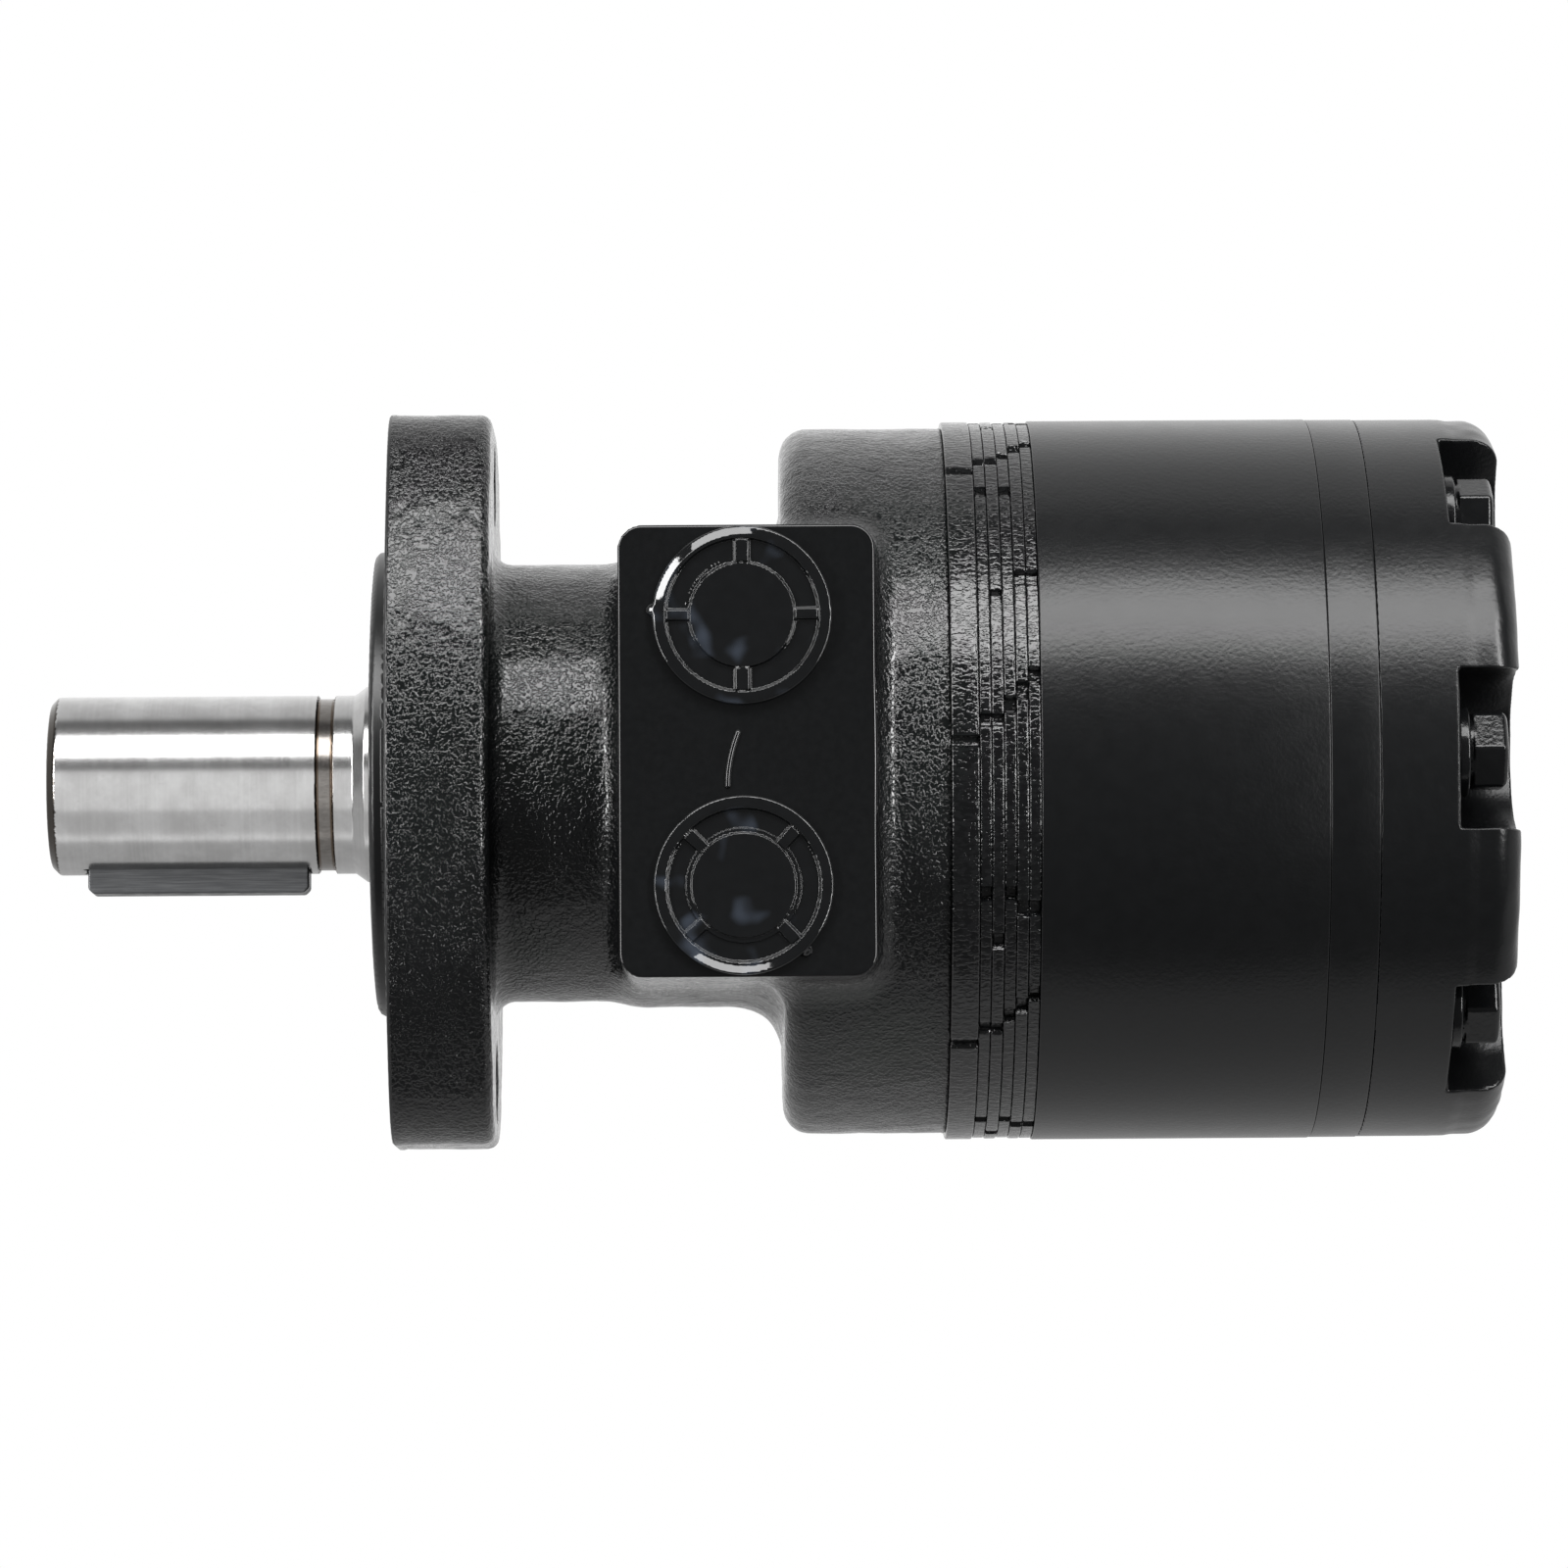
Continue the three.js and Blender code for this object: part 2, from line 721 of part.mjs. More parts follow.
// A cover bolt along +X, the underside of its head at zero.
function coverBolt() {
  const cornerRadius = hexHead.acrossFlats / Math.sqrt(3);
  const shankEnd = bolts.threadEnd - headSeat;
  const top = hexHead.collarHeight + hexHead.height;
  return joined(
    rod(shankEnd, hexHead.collarHeight, bolts.shankRadius, COARSE),
    rod(0, hexHead.collarHeight, hexHead.collarRadius, COARSE),
    rod(hexHead.collarHeight, top, cornerRadius, 6),
  );
}

// Each bolt stopped at its own angle when it was tightened.
const boltTwists = [0, 11, -11, 19, -24, 8, -28];

const boltRing = () => ring(0, boltWasher.height, bolts.holeRadius, boltWasher.radius, COARSE);

function boltPieces() {
  return boltAngles.flatMap((a, k) => {
    const [y, z] = polar(bolts.circle, a);
    const bolt = piece(`cover_bolt_${k + 1}`, coverBolt(), smoothPaint);
    bolt.position.set(headSeat, y, z);
    bolt.rotation.x = THREE.MathUtils.degToRad(boltTwists[k]);
    const washer = piece(`bolt_washer_${k + 1}`, boltRing(), smoothPaint);
    washer.position.set(boltSeat, y, z);
    return [bolt, washer];
  });
}

// Square-cut seals in the face grooves of the housing, the stator and the end cover.
function bodySeals() {
  const { inner, outer, depth, clearance } = sealGroove;
  const fronts = [
    bell.back - depth,
    statorFront,
    balanceFront - depth,
    coverFront,
  ];
  return fronts.map((front, k) => {
    const section = ring(clearance, depth - clearance, inner + clearance, outer - clearance, FINE);
    const mesh = piece(`body_seal_${k + 1}`, section, rubber);
    mesh.position.x = front;
    return mesh;
  });
}

// ---- Assembly -----------------------------------------------------------------------------------

// A mesh moved along the shaft axis to its station.
function at(x, mesh) {
  mesh.position.x = x;
  return mesh;
}

const backup = () =>
  ring(0, backupWasher.thickness, backupWasher.inner, backupWasher.outer, MEDIUM);

function caseGroup() {
  const group = new THREE.Group();
  group.add(
    piece("housing", housing(), castPaint),
    placedPlug("port_plug_upper", 1),
    placedPlug("port_plug_lower", -1),
    piece("dust_seal", dustWiper(), rubber),
    piece("shaft_seal", lipSeal(), rubber),
    at(backupWasher.front, piece("seal_backup_washer", backup(), groundSteel)),
    at(thrust.frontStation, piece("thrust_washer_front", thrustWasher(), groundSteel)),
    at(
      thrust.cageStation + thrust.needleRadius,
      piece("thrust_bearing_cage", needleDisc(), groundSteel),
    ),
    ...bearingPieces("front", bearing.frontStation),
    ...bearingPieces("rear", bearing.backStation),
    ...manifoldPieces(),
    at(statorFront, piece("stator", stator(), smoothPaint)),
    at(balanceFront, piece("balance_plate", balance(), smoothPaint)),
    at(coverFront, piece("end_cover", endCover(), smoothPaint)),
    ...boltPieces(),
    ...bodySeals(),
  );
  return group;
}

function shaftGroup() {
  const group = new THREE.Group();
  group.add(
    piece("output_shaft", outputShaft(), bareSteel),
    piece("shaft_key", shaftKey(), bareSteel),
    at(thrust.backStation, piece("thrust_washer_rear", thrustWasher(), groundSteel)),
  );
  return group;
}

// The pieces that orbit: the rotor and its spacer sit off the shaft axis, and the drive link leans
// from the shaft's socket to the rotor's.
function orbitGroup() {
  const offAxis = new THREE.Group();
  offAxis.position.y = rotorSet.eccentricity;
  offAxis.add(
    at(statorFront, piece("rotor", rotor(), groundSteel)),
    piece("link_spacer", rod(spacer.front, spacer.back, spacer.radius, MEDIUM), groundSteel),
  );
  const leaning = at(link.frontCrown, piece("drive_link", driveLink(), groundSteel));
  leaning.rotation.z = Math.atan2(rotorSet.eccentricity, link.backCrown - link.frontCrown);
  const group = new THREE.Group();
  group.add(offAxis, leaning);
  return group;
}

function rollGroup() {
  const group = new THREE.Group();
  rollAngles.forEach((a, k) => {
    const mesh = piece(`roll_${k + 1}`, roll(), groundSteel);
    mesh.position.set(statorFront, ...polar(rotorSet.rollCircle, a));
    group.add(mesh);
  });
  return group;
}

const motor = new THREE.Group();
motor.add(caseGroup(), shaftGroup(), orbitGroup(), rollGroup());
motor.position.x = -shaft.tip;

export default motor;
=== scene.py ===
"""Looks of an orbital hydraulic motor: housing, port plugs, shaft, manifold plates, rotor ring and cover.

Lengths in the mesh code are millimetres, with the CAD frame's directions: +X from the shaft tip to the cover,
the port pad towards -Y and +Z up. Stations along X are measured from the flange's mounting face. Cast and
turned shapes are distance fields that are contoured on a grid.
"""
import math

import bmesh
import bpy
import numpy as np
from mathutils import Matrix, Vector
from mathutils.geometry import delaunay_2d_cdt


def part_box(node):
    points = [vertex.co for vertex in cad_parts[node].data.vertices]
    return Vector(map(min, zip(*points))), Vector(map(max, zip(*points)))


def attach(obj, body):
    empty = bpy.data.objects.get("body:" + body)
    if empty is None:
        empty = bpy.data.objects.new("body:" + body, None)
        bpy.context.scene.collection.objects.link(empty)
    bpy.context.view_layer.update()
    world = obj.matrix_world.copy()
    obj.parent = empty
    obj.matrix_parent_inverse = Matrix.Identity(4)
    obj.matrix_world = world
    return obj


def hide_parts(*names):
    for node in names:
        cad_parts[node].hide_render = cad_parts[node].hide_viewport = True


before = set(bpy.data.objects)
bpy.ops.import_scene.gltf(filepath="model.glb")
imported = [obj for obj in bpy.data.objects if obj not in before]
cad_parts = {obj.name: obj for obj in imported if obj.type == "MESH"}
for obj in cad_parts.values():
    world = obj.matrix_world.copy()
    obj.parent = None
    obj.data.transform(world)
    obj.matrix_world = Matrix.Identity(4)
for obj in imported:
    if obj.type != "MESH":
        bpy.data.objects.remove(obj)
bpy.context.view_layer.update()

MM = 0.001
INSET = 0.05
TURN = 2 * math.pi
BOLT_COUNT = 7
PAD_ANGLE = math.pi
PILOT_HEIGHT = 2.8
MOUNTING_FACE = np.array([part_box("housing")[0][0] / MM + PILOT_HEIGHT, 0, 0])


def node_box(node):
    """Lowest and highest corner of a CAD node in millimetres, with X from the mounting face."""
    low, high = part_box(node)
    return np.array(low) / MM - MOUNTING_FACE, np.array(high) / MM - MOUNTING_FACE


# ---- Stations read from the CAD --------------------------------------------------------------------------

HOUSING_LOW, HOUSING_HIGH = node_box("housing")
SHAFT_LOW, SHAFT_HIGH = node_box("output_shaft")
KEY_LOW, KEY_HIGH = node_box("shaft_key")
COVER_LOW, COVER_HIGH = node_box("end_cover")
BOLT_TIP, BOLT_TOP = (corner[0] for corner in node_box("cover_bolt_1"))
WASHER_FRONT, WASHER_BACK = (corner[0] for corner in node_box("bolt_washer_1"))
BELL_BACK = HOUSING_HIGH[0]
FLANGE_HALF_HEIGHT = HOUSING_HIGH[2] - INSET
PAD_FACE = -HOUSING_LOW[1]

# ---- Feature sizes ---------------------------------------------------------------------------------------

# The usual small edge rounding, and how far cutters and hidden joins run on past a face.
EDGE_BREAK, OVERRUN = 0.2, 9.0
PILOT_RADIUS, PILOT_CHAMFER = 41.28, 0.8
FLANGE_THICKNESS, FLANGE_HALF_WIDTH = 18.3, 45.0
FLANGE_SIDE_RADIUS, FLANGE_CORNER_RADIUS = 98.0, 21.0
FLANGE_HOLE_RADIUS, FLANGE_HOLE_OFFSET = 6.75, 53.2
FLANGE_FRONT_EDGE, FLANGE_REAR_EDGE, FLANGE_HOLE_EDGE = 0.6, 2.2, 0.7
NECK_RADIUS, NECK_START, NECK_FRONT_FILLET, NECK_REAR_FILLET = 39.05, 1.0, 3.2, 10.0
BELL_FRONT, BELL_RADIUS, BELL_CORNER = 68.7, 62.8, 5.0
PAD_FRONT, PAD_BACK, PAD_HALF_HEIGHT = 40.8, 84.7, 38.6
PAD_CORNER, PAD_EDGE, PAD_FILLET = 4.2, 0.55, 4.5
PORT_X, PORT_OFFSET, PORT_RADIUS, PORT_FLOOR = 62.0, 23.0, 10.2, 32.0
BORE_EDGE, JOINT_EDGE = 0.3, 0.4
# Front, back and radius of the dust seal's seat, the web, the shaft seal's seat and the bearing bore.
PASSAGE_STEPS = ((-OVERRUN, 3.0, 25.0), (-OVERRUN, 4.5, 19.0), (4.0, 12.5, 24.5), (12.0, 120.0, 31.0))
BOLT_CIRCLE, BOLT_HOLE, BOLT_SHANK = 54.0, 4.4, 3.97
TAPPED_RADIUS, TAPPED_FRONT = 4.3, 74.0
GALLERY_Y, GALLERY_Z, GALLERY_RADIUS = -35.4, 20.5, 3.5
GROOVE_INNER, GROOVE_OUTER, GROOVE_DEPTH = 45.7, 48.3, 1.9
SHAFT_RADIUS, SEAL_RADIUS, JOURNAL_RADIUS = 15.875, 17.4, 23.5
POCKET_HALF, POCKET_SEAT, COVER_CORNER = 13.65, 13.5, 5.0


# ---- Distance fields -------------------------------------------------------------------------------------


def round_join(a, b, radius):
    """Union of two fields with a concave fillet."""
    reach = np.hypot(np.maximum(radius - a, 0), np.maximum(radius - b, 0))
    return np.maximum(radius, np.minimum(a, b)) - reach


def round_overlap(a, b, radius):
    """Intersection of two fields with a rounded convex edge."""
    reach = np.hypot(np.maximum(radius + a, 0), np.maximum(radius + b, 0))
    return np.minimum(-radius, np.maximum(a, b)) + reach


def round_cut(body, cutter, radius):
    """A body less a cutter, with a rounded edge."""
    return round_overlap(body, -cutter, radius)


def slab(value, low, high):
    return np.maximum(low - value, value - high)


def folded(y, z):
    """Radial and tangential distance within the sector of the nearest cover bolt."""
    sector = TURN / BOLT_COUNT
    angle = np.arctan2(z, y) - PAD_ANGLE
    angle = (angle + sector / 2) % sector - sector / 2
    radius = np.hypot(y, z)
    return radius * np.cos(angle), radius * np.sin(angle)


def at_bolts(y, z, radius):
    u, v = folded(y, z)
    return np.hypot(u - BOLT_CIRCLE, v) - radius


def waves(points, wavelength, count, seed):
    """A smooth random field of about unit size and its gradient, at each point."""
    rng = np.random.default_rng(seed)
    direction = rng.normal(size=(count, 3))
    direction /= np.linalg.norm(direction, axis=1)[:, None]
    number = direction * (TURN / (wavelength * rng.uniform(0.7, 1.5, count)))[:, None]
    angle = points @ number.T + rng.uniform(0, TURN, count)
    scale = math.sqrt(2 / count)
    return scale * np.cos(angle).sum(axis=1), -scale * np.sin(angle) @ number


def contour(field, axes):
    """Vertices and quads of the zero surface of a field on a grid: one vertex in each cell it crosses."""
    inside = field < 0
    shape = tuple(n - 1 for n in field.shape)
    count = np.zeros(shape, np.int8)
    offsets = [(i, j, k) for i in (0, 1) for j in (0, 1) for k in (0, 1)]
    for i, j, k in offsets:
        count += inside[i : i + shape[0], j : j + shape[1], k : k + shape[2]]
    cells = np.argwhere((count > 0) & (count < 8))
    index = np.full(shape, -1, np.int64)
    index[tuple(cells.T)] = np.arange(len(cells))
    total = np.zeros((len(cells), 3))
    crossings = np.zeros(len(cells))
    for axis in range(3):
        step = np.eye(3, dtype=int)[axis]
        for offset in (o for o in offsets if o[axis] == 0):
            start = cells + offset
            end = start + step
            f0 = field[tuple(start.T)].astype(float)
            f1 = field[tuple(end.T)].astype(float)
            hit = (f0 < 0) != (f1 < 0)
            share = np.where(hit, f0 / np.where(hit, f0 - f1, 1), 0)
            for d in range(3):
                p0 = axes[d][start[:, d]]
                p1 = axes[d][end[:, d]]
                total[:, d] += np.where(hit, p0 + share * (p1 - p0), 0)
            crossings += hit
    quads = []
    for axis in range(3):
        b, c = (axis + 1) % 3, (axis + 2) % 3
        first = np.take(inside, np.arange(field.shape[axis] - 1), axis)
        second = np.take(inside, np.arange(1, field.shape[axis]), axis)
        edges = np.argwhere(first != second)
        edges = edges[(edges[:, b] > 0) & (edges[:, c] > 0)]
        edges = edges[(edges[:, b] < shape[b]) & (edges[:, c] < shape[c])]
        outward = first[tuple(edges.T)]
        ring = []
        for db, dc in ((1, 1), (0, 1), (0, 0), (1, 0)):
            cell = edges.copy()
            cell[:, b] -= db
            cell[:, c] -= dc
            ring.append(index[tuple(cell.T)])
        quad = np.stack(ring, axis=1)
        quads.append(np.where(outward[:, None], quad, quad[:, ::-1]))
    return total / crossings[:, None], np.concatenate(quads)


def gradient_of(shape, points, reach):
    parts = []
    for axis in np.eye(3) * reach:
        ahead = shape(*(points + axis).T)
        behind = shape(*(points - axis).T)
        parts.append((ahead - behind) / (2 * reach))
    return np.stack(parts, axis=1)


def settled(shape, points, limit):
    """The points moved onto the zero surface of the field."""
    for _ in range(4):
        gradient = gradient_of(shape, points, 0.02)
        steepness = np.maximum((gradient**2).sum(axis=1), 0.3)
        move = np.clip(shape(*points.T) / steepness, -limit, limit)
        points = points - move[:, None] * gradient
    return points


def unit(vectors):
    return vectors / np.maximum(np.linalg.norm(vectors, axis=1), 1e-9)[:, None]


def mesh_object(name, points, faces, normals=None):
    """A mesh object from points in millimetres, with X from the mounting face."""
    mesh = bpy.data.meshes.new(name)
    mesh.from_pydata(((np.asarray(points) + MOUNTING_FACE) * MM).tolist(), [], [list(f) for f in faces])
    mesh.validate()
    mesh.shade_smooth()
    if normals is not None:
        mesh.normals_split_custom_set_from_vertices(normals.tolist())
    piece = bpy.data.objects.new(name, mesh)
    bpy.context.scene.collection.objects.link(piece)
    return piece


def spaced(low, high, step):
    return np.linspace(low, high, max(2, round((high - low) / step) + 1))


def graded(low, high, step, fine, *zones):
    """Grid values from low to high, with the fine step inside the zones."""
    values = [low]
    while values[-1] < high:
        inside = any(start <= values[-1] <= end for start, end in zones)
        values.append(values[-1] + (fine if inside else step))
    return np.array(values)


def field_piece(name, shape, axes, relief=None, edge_reach=0.12):
    """A piece contoured from a field, with an optional relief that sinks its surface."""
    x, y, z = (np.asarray(a, np.float32) for a in axes)
    field = np.broadcast_to(
        shape(x[:, None, None], y[None, :, None], z[None, None, :]), (len(x), len(y), len(z))
    )
    points, quads = contour(field, [x, y, z])
    points = settled(shape, points, 0.5 * (y[1] - y[0]))
    normals = unit(gradient_of(shape, points, edge_reach))
    if relief is not None:
        depth, slope = relief(points)
        across = slope - (slope * normals).sum(axis=1)[:, None] * normals
        points = points - depth[:, None] * normals
        normals = unit(normals + across)
    return mesh_object(name, points, quads.tolist(), normals)


# ---- Prisms and turned pieces ----------------------------------------------------------------------------


def loop(angles, radii, centre=(0, 0)):
    return np.stack([centre[0] + radii * np.cos(angles), centre[1] + radii * np.sin(angles)], axis=1)


def inside_all(points, loops):
    """Even-odd test of points against closed loops."""
    odd = np.zeros(len(points), bool)
    py, pz = points[:, :1], points[:, 1:]
    for ring in loops:
        nxt = np.roll(ring, -1, axis=0)
        crosses = (ring[:, 1] > pz) != (nxt[:, 1] > pz)
        rise = nxt[:, 1] - ring[:, 1]
        at = ring[:, 0] + (pz - ring[:, 1]) * (nxt[:, 0] - ring[:, 0]) / np.where(rise == 0, 1, rise)
        odd ^= (crosses & (py < at)).sum(axis=1) % 2 == 1
    return odd


def plate_piece(name, front, back, loops, bevel, arcs=3):
    """A prism along X from (angles, radii, centre, side) loops, side 1 for the rim and -1 for a hole."""
    turn = np.linspace(TURN / 4, 0, arcs + 1)
    sections = [(front + bevel * (1 - math.sin(t)), bevel * (1 - math.cos(t))) for t in turn]
    sections += [(back - bevel * (1 - math.sin(t)), bevel * (1 - math.cos(t))) for t in turn[::-1]]
    points, faces, rims = [], [], []
    total = 0
    for angles, radii, centre, side in loops:
        count = len(angles)
        for x, inset in sections:
            ring = loop(angles, radii - side * inset, centre)
            points.append(np.column_stack([np.full(count, x), ring]))
        rims.append((total, loop(angles, radii - side * bevel, centre)))
        for s in range(len(sections) - 1):
            base = total + s * count
            for i in range(count):
                j = (i + 1) % count
                faces.append((base + i, base + j, base + count + j, base + count + i))
        total += count * len(sections)
    faces += cap_faces(rims, len(sections))
    piece = mesh_object(name, np.concatenate(points), faces)
    tidy_normals(piece)
    return piece


def cap_faces(rims, section_count):
    """Triangles of both end faces between the rims, whose points keep their places in the mesh."""
    flat = np.concatenate([ring for _, ring in rims])
    edges, front_ids, back_ids = [], [], []
    at = 0
    for base, ring in rims:
        count = len(ring)
        edges += [(at + i, at + (i + 1) % count) for i in range(count)]
        front_ids += range(base, base + count)
        back_ids += range(base + (section_count - 1) * count, base + section_count * count)
        at += count
    result = delaunay_2d_cdt([tuple(p) for p in flat], edges, [], 0, 1e-5)
    source = [ids[0] for ids in result[3]]
    triangles = np.array([[source[v] for v in face] for face in result[2]])
    kept = triangles[inside_all(flat[triangles].mean(axis=1), [ring for _, ring in rims])]
    front = [[front_ids[v] for v in face] for face in kept]
    back = [[back_ids[v] for v in face[::-1]] for face in kept]
    return front + back


def tidy_normals(piece, sharp_degrees=38):
    """Faces turned outwards, and creases kept sharp."""
    work = bmesh.new()
    work.from_mesh(piece.data)
    bmesh.ops.remove_doubles(work, verts=work.verts, dist=1e-8)
    bmesh.ops.recalc_face_normals(work, faces=work.faces)
    work.to_mesh(piece.data)
    work.free()
    piece.data.shade_smooth()
    piece.data.set_sharp_from_angle(angle=math.radians(sharp_degrees))


def turned_piece(name, profile, segments, centre=(0, 0)):
    """A ring about X from a closed list of (x, r) points."""
    angles = np.arange(segments) * TURN / segments
    points = []
    for x, r in profile:
        ring = loop(angles, np.full(segments, r), centre)
        points.append(np.column_stack([np.full(segments, x), ring]))
    faces = []
    count = len(profile)
    for s in range(count):
        a, b = s * segments, (s + 1) % count * segments
        for i in range(segments):
            j = (i + 1) % segments
            faces.append((a + i, a + j, b + j, b + i))
    piece = mesh_object(name, np.concatenate(points), faces)
    tidy_normals(piece)
    return piece


def circle_loop(radius, count, centre=(0, 0), side=-1):
    angles = np.arange(count) * TURN / count
    return angles, np.full(count, float(radius)), centre, side


# ---- Housing ---------------------------------------------------------------------------------------------


def flange_outline(y, z):
    y, z = np.abs(y), np.abs(z)
    side_centre = FLANGE_SIDE_RADIUS - FLANGE_HALF_WIDTH
    corner_z = FLANGE_HALF_HEIGHT - FLANGE_CORNER_RADIUS
    reach = math.sqrt((FLANGE_SIDE_RADIUS - FLANGE_CORNER_RADIUS) ** 2 - corner_z**2)
    corner_y = reach - side_centre
    side = np.hypot(y + side_centre, z) - FLANGE_SIDE_RADIUS
    corner = np.hypot(y - corner_y, z - corner_z) - FLANGE_CORNER_RADIUS
    top = z - FLANGE_HALF_HEIGHT + 0 * y
    return np.where(z * reach <= corner_z * (y + side_centre), side, np.where(y <= corner_y, top, corner))


def flange_field(x, y, z):
    plate = round_overlap(flange_outline(y, z), -x, FLANGE_FRONT_EDGE)
    plate = round_overlap(plate, x - FLANGE_THICKNESS, FLANGE_REAR_EDGE)
    hole = np.hypot(y, np.abs(z) - FLANGE_HOLE_OFFSET) - FLANGE_HOLE_RADIUS
    return round_cut(plate, hole, FLANGE_HOLE_EDGE)


def pad_field(x, y, z):
    middle, half = (PAD_FRONT + PAD_BACK) / 2, (PAD_BACK - PAD_FRONT) / 2
    across = np.abs(x - middle) - half + PAD_CORNER
    up = np.abs(z) - PAD_HALF_HEIGHT + PAD_CORNER
    outline = np.hypot(np.maximum(across, 0), np.maximum(up, 0)) + np.minimum(np.maximum(across, up), 0)
    block = round_overlap(outline - PAD_CORNER, -y - PAD_FACE, PAD_EDGE)
    return np.maximum(block, y)


def pilot_field(x, r):
    rim = round_overlap(r - PILOT_RADIUS, -x - PILOT_HEIGHT, EDGE_BREAK)
    slope = (r - PILOT_RADIUS - x - PILOT_HEIGHT + PILOT_CHAMFER) / math.sqrt(2)
    return np.maximum(round_overlap(rim, slope, EDGE_BREAK), x - NECK_START)


def shaft_passage(x, r):
    steps = [np.maximum(r - radius, slab(x, front, back)) for front, back, radius in PASSAGE_STEPS]
    return np.minimum.reduce(steps)


def port_passages(x, y, z):
    z = np.abs(z)
    hole = np.maximum(np.hypot(x - PORT_X, z - PORT_OFFSET) - PORT_RADIUS, y + PORT_FLOOR)
    gallery = np.hypot(y - GALLERY_Y, z - GALLERY_Z) - GALLERY_RADIUS
    return np.minimum(hole, np.maximum(gallery, PORT_X - x))


def seal_groove(x, r, low, high):
    return np.maximum(slab(r, GROOVE_INNER, GROOVE_OUTER), slab(x, low, high))


def housing_field(x, y, z):
    r = np.hypot(y, z)
    neck = np.maximum(r - NECK_RADIUS, slab(x, NECK_START, BELL_FRONT + OVERRUN))
    bell = round_overlap(r - BELL_RADIUS, BELL_FRONT - x, BELL_CORNER)
    body = round_join(neck, bell, NECK_REAR_FILLET)
    body = round_join(body, pad_field(x, y, z), PAD_FILLET)
    body = round_join(body, flange_field(x, y, z), NECK_FRONT_FILLET)
    body = round_overlap(body, x - BELL_BACK, JOINT_EDGE)
    body = np.minimum(body, pilot_field(x, r))
    body = round_cut(body, shaft_passage(x, r), BORE_EDGE)
    body = round_cut(body, port_passages(x, y, z), BORE_EDGE)
    tapped = np.maximum(at_bolts(y, z, TAPPED_RADIUS), TAPPED_FRONT - x)
    body = np.maximum(body, -tapped)
    return np.maximum(body, -seal_groove(x, r, BELL_BACK - GROOVE_DEPTH, BELL_BACK + OVERRUN))


def uneven(points, weight, depth, *layers):
    """A relief of seeded waves below the surface; each layer is its height, wavelength, count and seed."""
    slope = np.zeros_like(points)
    for height, wavelength, count, seed in layers:
        value, rise = waves(points, wavelength, count, seed)
        depth = depth + height * value
        slope = slope + height * rise
    return weight * depth, weight[:, None] * slope


def cast_relief(points):
    """Sand-cast waviness, which stops at the machined pilot, mounting face, pad face, joint and bores."""
    x, y, z = points.T
    machined = np.maximum.reduce([x < 1.2, y < -PAD_FACE + 0.4, x > BELL_BACK - 0.3])
    inner = np.hypot(y, z) < 32
    weight = np.where(machined | inner, 0.0, 1.0)
    return uneven(points, weight, 0.16, (0.035, 9.0, 20, 3), (0.014, 2.6, 28, 5))


def housing():
    step, fine, margin, near = 0.9, 0.35, 1.0, 1.2
    low, high = HOUSING_LOW - margin, HOUSING_HIGH + margin
    ends = [(edge - near, edge + near) for edge in (0, PAD_FRONT, PAD_BACK, BELL_BACK)]
    rims = [(edge - near, edge + near) for edge in (-PAD_HALF_HEIGHT, PAD_HALF_HEIGHT)]
    axes = (
        graded(low[0], high[0], 0.85, fine, *ends),
        graded(low[1], high[1], step, fine, (low[1], low[1] + 2.6)),
        graded(low[2], high[2], step, fine, *rims),
    )
    return field_piece("cast_housing", housing_field, axes, cast_relief)


# ---- Port plugs ------------------------------------------------------------------------------------------

CAP_RADIUS, LIP_OUTER, LIP_INNER, HUB_RADIUS = 15.25, 13.65, 13.0, 9.0
STUB_RADIUS, STUB_LENGTH, CAP_EDGE, DROP_RADIUS = 9.8, 12.0, 0.3, 1.1
FLOOR_DEPTH, HUB_HEIGHT, LIP_HEIGHT, RIB_HEIGHT = 0.9, 0.9, 0.85, 0.75
# A rib is a direction and a width. A cap's rim bends by `lift` towards `lift_at`, sinks by `droop` all round
# and tilts by `lean`. A drop of paint hangs on its edge at `drop_at`.
PLUGS = (
    {
        "name": "port_cap_upper", "side": 1, "height": 1.95, "droop": 0.12,
        "ribs": ((TURN * 0.002, 1.9), (TURN * 0.25, 2.4), (TURN * 0.5, 1.9), (TURN * 0.75, 2.6)),
        "lift_at": TURN * 0.38, "lift": -0.8, "lean": (0.01, -0.006), "drop_at": TURN * 0.49,
    },
    {
        "name": "port_cap_lower", "side": -1, "height": 1.5, "droop": 0.2,
        "ribs": ((TURN * 0.13, 2.2), (TURN * 0.38, 2.2), (TURN * 0.62, 2.2), (TURN * 0.87, 2.2)),
        "lift_at": TURN * 0.72, "lift": 0.92, "lean": (0.0, 0.0), "drop_at": TURN * 0.87,
    },
)


def step_up(value, width=0.35):
    return np.clip(value / width + 0.5, 0, 1)


def cap_relief(plug, x, z):
    """Height of a cap's outer face: floor, hub, lip, ribs and the rim's bend."""
    r = np.hypot(x, z)
    floor = plug["height"] - FLOOR_DEPTH
    top = floor + HUB_HEIGHT * step_up(HUB_RADIUS - r)
    top = top + LIP_HEIGHT * step_up(r - LIP_INNER)
    for direction, width in plug["ribs"]:
        along = x * math.cos(direction) + z * math.sin(direction)
        across = np.abs(-x * math.sin(direction) + z * math.cos(direction))
        rib = step_up(width / 2 - across) * (along > 0) * step_up(r - HUB_RADIUS) * step_up(LIP_INNER - r)
        top = np.maximum(top, floor + RIB_HEIGHT * rib)
    rim = np.clip((r - LIP_OUTER) / (CAP_RADIUS - LIP_OUTER), 0, 1.2)
    lifted = np.clip(np.cos(np.arctan2(z, x) - plug["lift_at"]), 0, 1) ** 2
    return top + rim * (plug["lift"] * lifted - plug["droop"]) + plug["lean"][0] * x + plug["lean"][1] * z


